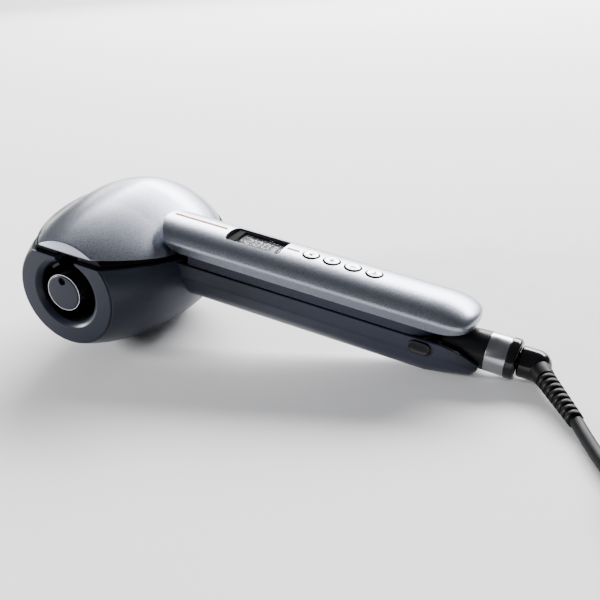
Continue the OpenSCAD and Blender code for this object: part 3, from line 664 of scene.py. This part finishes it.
def make_tie():
    """A strap round the coil's bundle, thinner along its edges."""
    low_x, high_x, top = STRAP_IN_R - STRAP_T, STRAP_OUT_R + STRAP_T, STRAP_TOP + STRAP_T
    outside = rounded([(low_x, 0.1), (high_x, 0.1), (high_x, top), (low_x, top)], 4.2, 7)
    inside = rounded(
        [(STRAP_IN_R, 1.0), (STRAP_OUT_R, 1.0), (STRAP_OUT_R, STRAP_TOP), (STRAP_IN_R, STRAP_TOP)], 3.6, 7
    )
    flat = STRAP_HALF - STRAP_EDGE
    section = [(-STRAP_HALF, 0.15), (-flat, 0.0), (flat, 0.0), (STRAP_HALF, 0.15)]
    verts, faces = [], []
    for o, i in zip(outside, inside):
        rim = [(o.lerp(i, back), y) for y, back in section]
        rim += [(i.lerp(o, back), y) for y, back in reversed(section)]
        verts += [(p.x, y, p.y) for p, y in rim]
    n, m = len(outside), 2 * len(section)
    for k in range(n):
        q = (k + 1) % n
        for j in range(m):
            faces.append((k * m + j, k * m + (j + 1) % m, q * m + (j + 1) % m, q * m + j))
    place = WORLD_MM @ Matrix.Translation(COIL_CENTRE) @ Matrix.Rotation(STRAP_TURN, 4, "Z")
    return piece("cord_strap", (verts, faces), "cord_swivel", "tie", ["cord_tie"], place, 40)


PLUG_X, PLUG_Y, PLUG_Z, PLUG_L, PIN_OUT = 304.5, 9.0, 7.0, 38.0, 9.3


def plug_section(y, wide, tall, power):
    """A superellipse across the plug."""
    p = 2 / power
    turn = [2 * math.pi * k / 48 for k in range(48)]
    return [
        (PLUG_X + wide * spow(math.cos(a), p), PLUG_Y + y, PLUG_Z + tall * spow(math.sin(a), p)) for a in turn
    ]


def make_plug():
    """The moulded two-pin plug: ribbed neck, waisted grip and flat face, with sleeved round pins."""
    rings = [(0.0, 3.5, 3.5, 2.0), (0.3, 4.1, 4.1, 2.0)]
    for i in range(4):
        y, r = 0.6 + 2.6 * i, 4.2 + 0.3 * i
        for step, rib in ((0.0, r), (1.3, r + 0.1), (1.5, r - 0.6), (2.3, r - 0.6)):
            rings.append((y + step, rib, rib, 2.0))
    rings += [
        (11.4, 5.6, 5.0, 2.2), (13.0, 7.6, 5.0, 2.6), (15.0, 8.9, 5.0, 3.0), (19.0, 9.5, 5.0, 3.4),
        (24.0, 9.7, 4.8, 3.6), (28.0, 10.2, 4.8, 3.6), (31.0, 11.4, 5.4, 3.8), (33.0, 12.5, 6.1, 4.0),
        (34.5, 12.9, 6.6, 4.2), (PLUG_L - 0.8, 12.9, 6.7, 4.4), (PLUG_L - 0.25, 12.6, 6.5, 4.4),
        (PLUG_L, 12.0, 6.0, 4.4),
    ]
    shape = skin([plug_section(*ring) for ring in rings])
    made = [piece("plug_moulding", shape, "cord_swivel", "rubber", ["plug_body"], WORLD_MM, 45)]
    sleeve = [(-0.5, 0.0), (-0.5, 2.0), (9.7, 2.0), (10.0, 1.8), (10.0, 0.0)]
    tip = [
        (9.9, 0.0), (9.9, 1.85), (10.1, 2.0), (17.2, 2.0), (18.0, 1.75), (18.7, 1.2), (19.0, 0.6),
        (19.0, 0.0),
    ]
    for name, s, over in (("pin_left", -1, ["plug_pins"]), ("pin_right", 1, ())):
        base = Vector((PLUG_X + s * PIN_OUT, PLUG_Y + PLUG_L, PLUG_Z))
        shape = lathe(sleeve, 32, base, ALONG_PLUG)
        made.append(piece(name + "_sleeve", shape, "cord_swivel", "rubber", (), WORLD_MM, 35))
        shape = lathe(tip, 32, base, ALONG_PLUG)
        made.append(piece(name, shape, "cord_swivel", "brass", over, WORLD_MM, 35))
    return made


lead, lead_path = make_cord()
make_relief()
strap = make_tie()
plug = make_plug()

# ---- head
ARC_STEPS = 120
OVERHANG_END_Y, LIP_STEPS = -10.0, 4


def overhang(y):
    """How far the dome stands proud of the lower head, most at the mouth."""
    return OVERHANG * clamp((OVERHANG_END_Y - y) / (OVERHANG_END_Y - FACE_Y))


def dome_arc(y, t):
    """One arch of the dome from brim to brim, with its lower edges rolled in. A negative t stands proud,
    most on the handle's side and not at all on the other."""
    a0 = cut_angle(y, brim(y) + DOME_LIP, t)
    arc = []
    for i in range(ARC_STEPS + 1):
        a = a0 + (math.pi - 2 * a0) * i / ARC_STEPS
        arc.append(head_point(y, a, t * (1 + math.cos(a)) / 2 if t < 0 else t))
    ends = []
    for tip, way in ((arc[0], -1), (arc[-1], 1)):
        turn = [math.pi / 2 * k / LIP_STEPS for k in range(1, LIP_STEPS + 1)]
        ends.append(
            [tip + Vector((way * DOME_LIP * (1 - math.cos(a)), 0, -DOME_LIP * math.sin(a))) for a in turn]
        )
    return list(reversed(ends[0])) + arc + ends[1]


def make_dome():
    """The silver cover of the head, with its front edge rounded."""
    rows = []
    for a in [math.pi / 2 * i / 5 for i in range(5)]:
        y = FACE_Y + DOME_EDGE * (1 - math.sin(math.pi / 2 - a))
        rows.append((y, DOME_EDGE * (1 - math.sin(a)) - overhang(y)))
    end_y = cut_end(BRIM_SIDE + DOME_LIP, 0) - 0.15
    rows += [(y, -overhang(y)) for y in stations(FACE_Y + DOME_EDGE, end_y, 60, 56)]
    shape = skin([dome_arc(y, t) for y, t in rows])
    piece("dome", shape, "upper_jaw", "silver", ["head_cover"], ON_TABLE, 40)


def pod_shape(top, t, y_front):
    """The lower head, drawn in by t and closed across the top at the height top(y)."""
    rings = []
    for y in stations(y_front, BACK_Y - t - BACK_TRIM, 56, 60):
        a0 = cut_angle(y, top(y), t)
        ring = [head_point(y, a0 - (math.pi + 2 * a0) * i / ARC_STEPS, t) for i in range(ARC_STEPS + 1)]
        rings.append([Vector((p.x, p.y, max(p.z, floor_z(p.x) + t))) for p in ring])
    return skin(rings)


POD_FRONT, SEAT_DEPTH, DOOR = 0.8, 3.8, ((40, 80), (-11, 11), (-15, 0.8))


def make_pod():
    """The slate lower head: hollow, with the bore, the ring's seat, the slot and the wires' door."""
    shape = pod_shape(deck, 0.0, FACE_Y + POD_FRONT)
    pod = piece("pod", shape, "lower_jaw", "slate", ["chamber_housing"])
    inner = pod_shape(lambda y: DECK_SIDE - WALL, WALL, FACE_Y + WALL + POD_FRONT)
    bore = rod(Vector((0, SLOT_END_Y + 0.5, DRUM_Z)), OUT_OF_MOUTH, CHAMBER_R + 1.25, 60, 96)
    seat = rod(Vector((0, FACE_Y + SEAT_DEPTH, DRUM_Z)), OUT_OF_MOUTH, FACE_R - WALL + 0.1, 9, 96)
    slot = block((-SLOT_HALF, SLOT_HALF), (FACE_Y - 5, SLOT_END_Y), (DRUM_Z, DECK_FRONT + 3.5))
    cut(pod, inner, bore, seat, slot, block(*DOOR))
    bevel(pod, 0.5, segments=4)
    # The lower head's upward faces are painted a darker, duller slate: painted shade of the gap under the
    # dome's edge.
    repaint(pod, "deck", lambda p, normal: normal.z > 0.9 and p.z > -1)


BELL_DEPTH, BELL_R = 2.6, 3.0


def make_face():
    """The flat ring round the mouth, with its rolled outer edge and its rounded bell."""
    # The turn stops just short of a right angle, which keeps the cosine positive.
    turn = [math.pi * k / 24.001 for k in range(13)]
    bell = [
        (BELL_DEPTH * math.cos(a) ** 1.5 - BELL_DEPTH, CHAMBER_R + BELL_R - BELL_R * math.sin(a) ** 1.5)
        for a in turn
    ]
    seat_r = FACE_R - WALL
    profile = [
        (0.0, FACE_R - 0.75), (-0.12, FACE_R - 0.35), (-0.35, FACE_R - 0.12), (-0.8, FACE_R),
        (-0.85, FACE_R), (-0.85, seat_r), (-SEAT_DEPTH, seat_r), (-SEAT_DEPTH, CHAMBER_R),
    ]
    shape = lathe(profile + bell[::-1], 180, Vector((0, FACE_Y, DRUM_Z)), OUT_OF_MOUTH)
    face = piece("face_plate", shape, "lower_jaw", "face", ["face_ring"])
    depth = (FACE_Y - 5, FACE_Y + 10)
    cut(
        face, block((-SLOT_HALF, SLOT_HALF), depth, (DRUM_Z, 30)), block((-40, 40), depth, (DECK_FRONT, 30))
    )
    bevel(face, 0.5)


CAP_HOLE_R = 2.3


def make_barrel_parts():
    """The disc on the barrel's end with its round hole, and the disc's bright rim."""
    centre = Vector((BARREL_X, FACE_Y, DRUM_Z))
    spigot = BARREL_R - 1.8
    cap = [
        (0.0, 0.0), (0.0, CAP_R - 1.1), (-0.1, CAP_R - 0.7), (-0.45, CAP_R - 0.25), (-0.9, CAP_R - 0.05),
        (-2.45, CAP_R - 0.05), (-2.45, spigot), (-5.0, spigot), (-5.0, 0.0),
    ]
    shape = lathe(cap, 128, centre, OUT_OF_MOUTH)
    disc = piece("barrel_disc", shape, "lower_jaw", "face", ["barrel_cap"])
    cut(disc, rod(centre + Vector((-0.7, 2.5, 6.9)), OUT_OF_MOUTH, CAP_HOLE_R, 8, 48))
    bevel(disc, 0.3)
    rim = [
        (-0.42, CAP_R - 0.12), (-0.42, CAP_R + 0.1), (-0.7, CAP_R + 0.25), (-1.4, CAP_R + 0.25),
        (-1.7, CAP_R), (-1.7, CAP_R - 0.12),
    ]
    shape = lathe(rim, 128, centre, OUT_OF_MOUTH)
    piece("barrel_rim", shape, "lower_jaw", "bright", (), ON_TABLE, 35)


# Sole: its gap over the lower head, its top inside the dome, its inset, and the slot's roof, which is
# lower towards the back.
SOLE_GAP, SOLE_TOP, SOLE_INSET, ROOF_STEP_Y, ROOF_FRONT, ROOF_BACK = 1.1, 1.2, 1.35, -38, 7.2, 4.6


def sole_section(y):
    """Across the upper jaw's sole: rounded lower edges, then up inside the dome."""
    low, high = deck(y) + SOLE_GAP, brim(y) + SOLE_TOP
    side = []
    for rise, inset in ((0.0, 4.0), (0.0, 3.0), (0.12, 2.3), (0.45, 1.8), (1.0, 1.5), (1.8, SOLE_INSET)):
        side.append((edge_x(y, low + rise) - inset, low + rise))
    side.append((edge_x(y, high) - SOLE_INSET, high))
    return [Vector((x, y, z)) for x, z in side] + [Vector((-x, y, z)) for x, z in reversed(side)]


def make_jaw_liner():
    """The black sole of the upper jaw, set back behind the mouth's ring, with the slot's roof."""
    ys = stations(FACE_Y + 3.0, cut_end(BRIM_SIDE + SOLE_TOP, 2.0) - 1.0, 40, 40)
    shape = skin([sole_section(y) for y in ys])
    sole = piece("jaw_sole", shape, "upper_jaw", "sole", ["jaw_liner"])
    width = (-SLOT_HALF - 0.5, SLOT_HALF + 0.5)
    cut(
        sole, block(width, (FACE_Y - 1, ROOF_STEP_Y), (0, ROOF_FRONT)),
        block(width, (ROOF_STEP_Y - 1, SLOT_END_Y), (0, ROOF_BACK)),
    )
    bevel(sole, 0.3, angle=60)


make_dome()
make_pod()
make_face()
make_barrel_parts()
make_jaw_liner()

# ---- upper arm
ARM_POWER, TAIL_POWER, ARM_STEPS = 2.3, 3.4, 72
HIGH_Z = 30


def tail_k(x, t):
    """How far into the tail's curve a station is, from 0 to 1 at the end."""
    return max((x - TAIL_X + TAIL_ROUND) / (TAIL_ROUND - t), 0.0)


def arm_width(x, t):
    """The arm's half width, rounded off over the tail."""
    return (ARM_HALF - t) * max(1 - tail_k(x, t) ** TAIL_POWER, 0.0) ** (1 / TAIL_POWER)


def arm_crest(x, t):
    """The height of the arm's crest, which falls over the tail."""
    shoulder = EDGE_Z - t / 2
    return shoulder + (CREST_Z - shoulder - t) * math.sqrt(max(1 - TAIL_DROP * tail_k(x, t) ** 2, 0.0))


def arm_ring(x, t, base_z, bow):
    """Across the arm: rolled lower edges, short sides, and a crowned top."""
    w, h, e, p = arm_width(x, t), arm_crest(x, t), EDGE_Z - t / 2, 2 / ARM_POWER
    nose = max(1 - (x - ARM_START_X) / ARM_NOSE, 0.0) * (EDGE_Z - 0.6 - BAND_Z)
    foot = base_z + TAIL_LIFT * tail_k(x, t) ** 2 + nose
    s = min(w / 3, 1.0)
    lower = [
        (w - 1.3 * s, foot), (w - 0.95 * s, foot + 0.15), (w - 0.8 * s, foot + 0.5), (w - 0.12 * s, e - 0.55),
    ]
    turn = [math.pi * i / ARM_STEPS for i in range(ARM_STEPS + 1)]
    top = [(w * spow(math.cos(a), p), e + (h - e) * math.sin(a) ** p) for a in turn]
    section = lower + top + [(-y, z) for y, z in reversed(lower)]
    return [Vector((x + bow * (y / ARM_HALF) ** 2, y, z)) for y, z in section]


def arm_shape(t, base_z, x0):
    """The arm, drawn in by t, with its front end bowed to the dome's curve."""
    bend = TAIL_X - TAIL_ROUND
    xs = [x0 + (bend - x0) * i / 24 for i in range(24)] + closing(bend, TAIL_X - t - 0.02, 44)
    return skin([arm_ring(x, t, base_z, ARM_BOW * max(1 - (x - x0) / BOW_RUN, 0.0)) for x in xs])


# The copper inlay before and after the display: ranges along and across the crest.
LINES = [
    ((ARM_START_X + 3.1, DISPLAY_X - 5.1), (0.8, 2.8)),
    ((DISPLAY_X + DISPLAY_L + 1.6, BUTTON_X - 7.1), (-0.9, 0.9)),
]


def button_x(i):
    """A button's place along the arm."""
    return BUTTON_X + i * BUTTON_PITCH


def display_outline():
    """The display's opening in plan: two rounded corners, and an end that bulges towards the head."""
    x0, x1, half = DISPLAY_X, DISPLAY_X + DISPLAY_L, DISPLAY_HALF
    outline = rounded([(x1, -half), (x1, half), (x0, half), (x0, -half)], [0.8, 0.8, 0, 0])
    turn = [math.pi * k / 24 for k in range(1, 24)]
    bulge = [Vector((x0 - 0.28 * half * math.sin(a), half * math.cos(a))) for a in turn]
    return outline[:-1] + bulge + outline[-1:]


def in_button_hole(p, normal):
    """Whether a face's middle lies on a button hole's wall or its rounded rim: the faces painted black as
    painted shade of the gap.
    """
    near = min(math.hypot(p.x - button_x(i), p.y) for i in range(BUTTONS))
    return near < BUTTON_R + 1.0 and p.z > EDGE_Z and normal.z < 0.9


def make_arm():
    """The silver shell of the upper arm, with its button holes, display opening and inlay grooves."""
    shape = arm_shape(0.0, BAND_Z, ARM_START_X)
    arm = piece("arm_cover", shape, "upper_jaw", "silver", ["upper_arm_shell"])
    hollow = arm_shape(WALL, BAND_Z - 1, ARM_START_X + 4)
    holes = [
        rod(Vector((button_x(i), 0, EDGE_Z)), UP, BUTTON_R + 0.75, HIGH_Z - EDGE_Z) for i in range(BUTTONS)
    ]
    deep = (CREST_Z - 0.35, HIGH_Z)
    grooves = [block((x[0] - 0.1, x[1] + 0.1), (y[0] - 0.05, y[1] + 0.05), deep) for x, y in LINES]
    cut(arm, hollow, *holes, prism(display_outline(), EDGE_Z, HIGH_Z), *grooves)
    bevel(arm, 0.28)
    # The holes' walls and rims are painted matte black: painted shade of the gaps round the keys.
    repaint(arm, "matte_black_and_painted_shade", in_button_hole)


def make_lines():
    """The copper inlay along the crest."""
    shape = joined([block(x, y, (CREST_Z - 0.3, CREST_Z + 0.1)) for x, y in LINES])
    piece("copper_line", shape, "upper_jaw", "copper", ["copper_trim"])


# Each button's mark as strokes from (x, y) to (x, y): an arrowhead, a plus, a minus, and a bar with a tick.
KEY_MARKS = [
    [(0.9, -1.1, -0.7, 0.0), (-0.7, 0.0, 0.9, 1.1)],
    [(-1.1, 0.0, 1.1, 0.0), (0.0, -1.1, 0.0, -0.3), (0.0, 0.3, 0.0, 1.1)],
    [(-1.1, 0.0, 1.1, 0.0)],
    [(0.0, 0.3, 0.0, 1.3), (-0.9, -0.7, 0.9, -0.7)],
]
MARK_SCALE, MARK_HALF, MARK_DEPTH = 1.3, 0.3, (-0.3, -0.08)
KEY_TOP = CREST_Z + 0.6
KEY_FOOT, KEY_BODY = 14.75, 16.2


def stroke(x, ends):
    """The outline of a mark's stroke."""
    ax, ay, bx, by = [MARK_SCALE * v for v in ends]
    a, b = Vector((x + ax, ay, 0)), Vector((x + bx, by, 0))
    d = (b - a).normalized() * MARK_HALF
    n = Vector((-d.y, d.x, 0))
    return [a - d + n, b + d + n, b + d - n, a - d - n]


def make_button(i):
    """A dished round key on its stem, its sides painted black as painted shade of the gap round it, with its
    mark.
    """
    x, top, r = button_x(i), KEY_TOP, BUTTON_R
    profile = [
        (KEY_FOOT, 0.0), (KEY_FOOT, 1.5), (KEY_BODY, 1.5), (KEY_BODY, r), (top - 0.75, r),
        (top - 0.42, r - 0.07), (top - 0.18, r - 0.25), (top - 0.04, r - 0.55), (top - 0.02, r - 1.0),
        (top - 0.16, 2.2), (top - 0.24, 1.1), (top - 0.26, 0.0),
    ]
    shape = lathe(profile, 72, Vector((x, 0, 0)), UP)
    body = "button_%d" % (i + 1)
    key = piece("key_%d" % (i + 1), shape, body, "button", [body], ON_TABLE, 35)
    # The key's sides are painted matte black: painted shade of the gap between the key and its hole.
    repaint(key, "matte_black_and_painted_shade", lambda p, normal: p.z < top - 0.3 and abs(normal.z) < 0.9)
    marks = joined([prism(stroke(x, ends), *[top + h for h in MARK_DEPTH]) for ends in KEY_MARKS[i]])
    piece("key_mark_%d" % (i + 1), marks, body, "matte_black_and_painted_shade")


def tray_section(x):
    """Across the arm's floor, narrowing over its round end."""
    over = max(x - (TRAY_END_X - TRAY_HALF), 0.0)
    w = math.sqrt(max(TRAY_HALF**2 - over**2, 0.01))
    s, z = min(w / 3, 1.0), TRAY_Z
    edge = [(w - 1.2 * s, z), (w - 0.6 * s, z + 0.12), (w - 0.2 * s, z + 0.45), (w, z + 1.0), (w, BAND_Z)]
    return [Vector((x, y, z)) for y, z in edge] + [Vector((x, -y, z)) for y, z in reversed(edge)]


def make_tray():
    """The slate floor of the upper arm, seen as the dark band under its cover."""
    bend = TRAY_END_X - TRAY_HALF
    xs = [TRAY_START_X, 90.0, 140.0] + closing(bend, TRAY_END_X, 30)[:-1] + [TRAY_END_X - 0.03]
    shape = skin([tray_section(x) for x in xs])
    tray = piece("arm_floor", shape, "upper_jaw", "slate", ["upper_arm_tray"])
    half = TRAY_HALF - TRAY_WALL
    cut(tray, block((TRAY_START_X + 2, bend - 1), (-half, half), (TRAY_Z + TRAY_WALL, 20)))
    shade(tray, 30)


make_arm()
make_lines()
for index in range(BUTTONS):
    make_button(index)
make_tray()

# ---- lower arm


def lower_ring(x, t, top_z):
    """Across the lower arm: flat top, short sides and a narrow keel, all closing in over the taper."""
    k = max((x - TAPER_X) / (LOWER_END_X - TAPER_X), 0.0)
    narrow = math.sqrt(1 - 0.55 * k * k)
    keel = max(KEEL_Z + 11 * (1 - math.sqrt(1 - 0.98 * k * k)), floor_z(x) + 0.6) + t
    top, half = top_z - 8 * k * k, LOWER_HALF - t
    right = [
        (half - 2.4, top), (half - 0.8, top), (half, top - 0.35 * (top - keel)),
        (half - 2.6, keel + 0.27 * (top - keel)), (9.5 - t / 2, keel + 1.2), (4, keel),
    ]
    radii = [0, 0.5, 1.2, 4.0, 5.0, 3.0]
    turned = rounded(right + [(-y, z) for y, z in reversed(right)], radii + radii[::-1], 5)
    return [Vector((x, -p.x * narrow, p.y)) for p in turned]


def lower_shape(t, top_z, x0, x1):
    """The lower arm, drawn in by t."""
    bend = TAPER_X - TAPER_LEAD
    xs = [x0 + (bend - x0) * i / 20 for i in range(20)] + closing(bend, x1, 40)
    return skin([lower_ring(x, t, top_z) for x in xs])


def stadium(length, height):
    """A lying oval with round ends, about the origin."""
    half, r = (length - height) / 2, height / 2
    turn = [math.pi * (k / 16 - 0.5) for k in range(17)]
    right = [(half + r * math.cos(a), r * math.sin(a)) for a in turn]
    return right + [(-x, -z) for x, z in right]


def hinge_ring(length, height, y):
    """A stadium round the hinge's axis."""
    return [Vector((HINGE_X + x, y, HINGE_Z + z)) for x, z in stadium(length, height)]


PLUG_OVAL, HOLE_OVAL, PLUG_FOOT_Y = (12.1, 7.3), (12.5, 7.7), 14.9


def make_lower_arm():
    """The slate lower arm: hollow, open to the head and to the rear tube, with the hinge's oval holes."""
    shape = lower_shape(0.0, RAIL_Z, LOWER_START_X, LOWER_END_X)
    arm = piece("lower_cover", shape, "lower_jaw", "slate", ["lower_arm_shell"])
    cut(
        arm, lower_shape(WALL, RAIL_Z + 3, LOWER_START_X - 1, LOWER_END_X - WALL),
        pod_shape(lambda y: RAIL_Z + 8, -0.02, FACE_Y - 2),
        rod(Vector((TRAY_END_X + 2, 0, TUBE_Z)), ALONG_HANDLE, COLLAR_R, 40),
        block((TRAY_END_X - 0.5, 240), (-9, 9), (-2, 5)),
        skin([hinge_ring(*HOLE_OVAL, y) for y in (-30, 30)]),
    )
    bevel(arm, 0.35)


def make_hinge_caps():
    """Oval plugs over the pin's ends, each with a shallow dish."""
    steps = [(0.0, 0.0), (1.6, 0.0), (1.95, -0.12), (2.1, -0.4), (2.12, -0.9), (1.9, -1.4), (1.8, -2.4)]
    for name, s, over in (("hinge_plug_near", -1, ["hinge_caps"]), ("hinge_plug_far", 1, ())):
        rings = []
        for depth, grow in steps:
            length, height = [v + 2 * grow for v in PLUG_OVAL]
            rings.append(hinge_ring(length, height, s * (PLUG_FOOT_Y + depth)))
        piece(name, skin(rings), "lower_jaw", "gloss_black", over, ON_TABLE, 35)


make_lower_arm()
make_hinge_caps()

# ---- rear end
WEDGE_Z, WEDGE_SLOPE, WEDGE_TOP, SWIVEL_BORE = 4.6, math.tan(math.radians(10)), 16, 5.06


def handle_lathe(name, profile, body, look, replaces, steps=128):
    """A part turned about the handle's tube; the profile's first value is the place along the handle."""
    shape = lathe(profile, steps, Vector((0, 0, TUBE_Z)), ALONG_HANDLE)
    return piece(name, shape, body, look, replaces, ON_TABLE, 35)


def make_neck():
    """The black neck, cut to a slope under the upper arm's tail."""
    profile = [
        (202.2, 6.4), (202.2, 8.2), (202.6, 8.6), (208.0, 9.2), (214.1, 9.7), (220.0, 10.1), (224.6, 10.3),
        (COLLAR_X, 10.1), (COLLAR_X, 8.7), (COLLAR_X + COLLAR_L, 8.7), (COLLAR_X + COLLAR_L, 6.4),
    ]
    neck = handle_lathe("neck", profile, "lower_jaw", "black", ["rear_neck"])
    x = TRAY_END_X
    side = [(x - 1, WEDGE_Z), (x + 17, WEDGE_Z + 17 * WEDGE_SLOPE), (x + 15.5, WEDGE_TOP), (x - 1, WEDGE_TOP)]
    cut(neck, skin([[Vector((a, y, z)) for a, z in side] for y in (-20, 20)]))
    bevel(neck, 0.4)


def make_collar():
    """The brushed steel collar, with its edges broken."""
    c, e, r = COLLAR_X, COLLAR_X + COLLAR_L, COLLAR_R
    profile = [
        (c, r - 1.6), (c, r - 0.4), (c + 0.15, r - 0.12), (c + 0.45, r), (e - 0.45, r), (e - 0.15, r - 0.12),
        (e, r - 0.4), (e, r - 1.6),
    ]
    handle_lathe("collar", profile, "lower_jaw", "steel", ["steel_collar"], steps=192)


def make_rear_cap():
    """The rear cap, whose rounded rim rests on the floor."""
    e = COLLAR_X + COLLAR_L
    profile = [
        (e, SWIVEL_BORE), (e, COLLAR_R - 0.35), (e + 0.12, COLLAR_R - 0.3), (e + 0.22, CAP_EDGE_R - 0.35),
        (e + 0.5, CAP_EDGE_R),
    ]
    bend = e + CAP_STRAIGHT
    for a in [math.pi / 2 * k / 8 for k in range(9)]:
        profile.append((bend + CAP_ROUND * math.sin(a), CAP_EDGE_R - CAP_ROUND + CAP_ROUND * math.cos(a)))
    profile.append((bend + CAP_ROUND, SWIVEL_BORE))
    handle_lathe("rear_cap", profile, "lower_jaw", "gloss_black", ["end_cap"])


def make_swivel():
    """The swivel's turned block, closed by the round elbow that the sleeve leaves."""
    s = END_X + 0.35
    profile = [
        (END_X - 5.4, 0.0), (END_X - 5.4, 4.8), (END_X - 5.2, 5.0), (s, 5.0), (s, BLOCK_R - 1.1),
        (s + 0.15, BLOCK_R - 0.75), (s + 0.6, BLOCK_R - 0.2), (s + 1.2, BLOCK_R),
    ]
    for a in [math.pi / 2 * k / 20 for k in range(20)]:
        profile.append((ELBOW_X + BLOCK_R * math.sin(a), BLOCK_R * math.cos(a)))
    profile.append((ELBOW_X + BLOCK_R, 0.0))
    handle_lathe("swivel_body", profile, "cord_swivel", "gloss_black", ["swivel_block"])


make_neck()
make_collar()
make_rear_cap()
make_swivel()

# ---- display
SEGMENTS = {"2": "abged", "0": "abcdef"}
FIGURE_TALL, FIGURE_WIDE, FIGURE_PITCH, STROKE = 5.6, 3.2, 5.4, 0.9
FIGURE_X, FIGURE_Y = DISPLAY_X + 8.0, -2.2
BAR_X, BAR_Y, BAR_PITCH, BAR_L, BAR_W = DISPLAY_X + 24.5, -4.2, 2.1, 2.6, 1.2
PANEL_Z = WINDOW_Z - 1.75


def digit(x, y, figure):
    """The lit bars of one figure, its top towards +Y and its reading direction along +X."""
    h, tall, wide = FIGURE_TALL / 2, FIGURE_TALL, FIGURE_WIDE
    bars = {
        "a": ((0, tall), (wide, tall)), "b": ((wide, h), (wide, tall)), "c": ((wide, 0), (wide, h)),
        "d": ((0, 0), (wide, 0)), "e": ((0, 0), (0, h)), "f": ((0, h), (0, tall)), "g": ((0, h), (wide, h)),
    }
    out = []
    for key in SEGMENTS[figure]:
        a, b = [Vector((x + p[0], y + p[1])) for p in bars[key]]
        d = (b - a).normalized() * STROKE
        n = Vector((-d.y, d.x)) / 2
        a, b = a + d * 0.25, b - d * 0.25
        out.append([a, a + d / 2 + n, b - d / 2 + n, b, b - d / 2 - n, a + d / 2 - n])
    return out


def make_display():
    """The display panel under its window, with its figures and bars."""
    z = PANEL_Z
    rings = []
    steps = [(z - 3.85, 0.0, 0.0), (z - 1.35, 0.0, 0.0), (z - 1.35, 0.6, 1.8), (z, 0.6, 1.8)]
    for height, inset, grow in steps:
        x0, x1 = DISPLAY_X + 2 + grow + inset, DISPLAY_X + DISPLAY_L - 1 - inset
        y = DISPLAY_HALF - 1.2 - inset
        rings.append([(x0, -y, height), (x1, -y, height), (x1, y, height), (x0, y, height)])
    piece("display_panel", skin(rings), "upper_jaw", "lcd", ["lcd_module"])
    shapes = []
    for k, figure in enumerate("200"):
        shapes += digit(FIGURE_X + FIGURE_PITCH * k, FIGURE_Y, figure)
    for y in [BAR_Y + BAR_PITCH * k for k in range(4)]:
        shapes.append([(BAR_X, y), (BAR_X + BAR_L, y), (BAR_X + BAR_L, y + BAR_W), (BAR_X, y + BAR_W)])
    figures = joined([prism(shape, z + 0.01, z + 0.07) for shape in shapes])
    piece("display_figures", figures, "upper_jaw", "segment")


make_display()

# ---- CAD nodes that keep their shape
KEPT = {
    "chamber": ["chamber_liner"], "barrel": ["heat_barrel"], "heater": ["heater_core"],
    "bearing": ["rotor_bush"],
    "gear": ["rotor_gear", "idler_gear"],
    "brass": ["motor_pinion"],
    "board": ["power_board", "control_board"],
    "rubber": ["supply_leads"], "deck": ["lower_arm_cover"],
    "matte_black_and_painted_shade": ["display_frame"], "window": ["display_window"],
    "black": ["micro_switch", "hinge_knuckle", "button_frame", "hair_hook"],
    "bright": [
        "thermal_fuse", "gearbox_frame", "motor", "gearbox_screws", "idler_axle", "hinge_bracket",
        "hinge_pin", "torsion_spring", "tact_switches", "tray_screws", "swivel_clip",
    ],
}
for look, names in KEPT.items():
    for name in names:
        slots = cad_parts[name].data.materials
        slots.clear()
        slots.append(M[look])

# ---- stage
FLOOR_HALF = 20.0


def make_stage():
    """A plain pale floor, under a dim pale sky."""
    s = FLOOR_HALF
    mesh = bpy.data.meshes.new("floor")
    mesh.from_pydata([(-s, -s, 0), (s, -s, 0), (s, s, 0), (-s, s, 0)], [], [(0, 1, 2, 3)])
    mesh.materials.append(material("floor", (0.86, 0.86, 0.87), 0.7, (0.005, 40, 0.0), 0.005))
    linked("floor", mesh)
    world = bpy.data.worlds.new("studio")
    world.use_nodes = True
    sky = world.node_tree.nodes["Background"]
    sky.inputs["Color"].default_value = (0.93, 0.95, 1.0, 1)
    sky.inputs["Strength"].default_value = 0.16
    bpy.context.scene.world = world


def softbox(name, place, target, size, power):
    """A soft rectangular light, aimed at a target; metres and watts."""
    data = bpy.data.lights.new(name, "AREA")
    data.shape = "RECTANGLE"
    data.size, data.size_y = size
    data.energy = power
    light = linked(name, data)
    light.location = place
    light.rotation_mode = "QUATERNION"
    light.rotation_quaternion = (Vector(target) - Vector(place)).to_track_quat("-Z", "Y")


make_stage()
softbox("high", (-0.2, 1.45, 1.15), (0, 0, 0), (2.4, 0.55), 27)
softbox("rear", (-0.3, 1.7, 0.55), (0, 0, 0.03), (2.8, 0.5), 31)
softbox("left", (-1.35, -0.7, 0.38), (-0.1, 0, 0.03), (0.4, 0.35), 46)
softbox("backdrop", (0.0, 5.0, 3.2), (0, 2.5, 0), (7.0, 2.0), 1250)
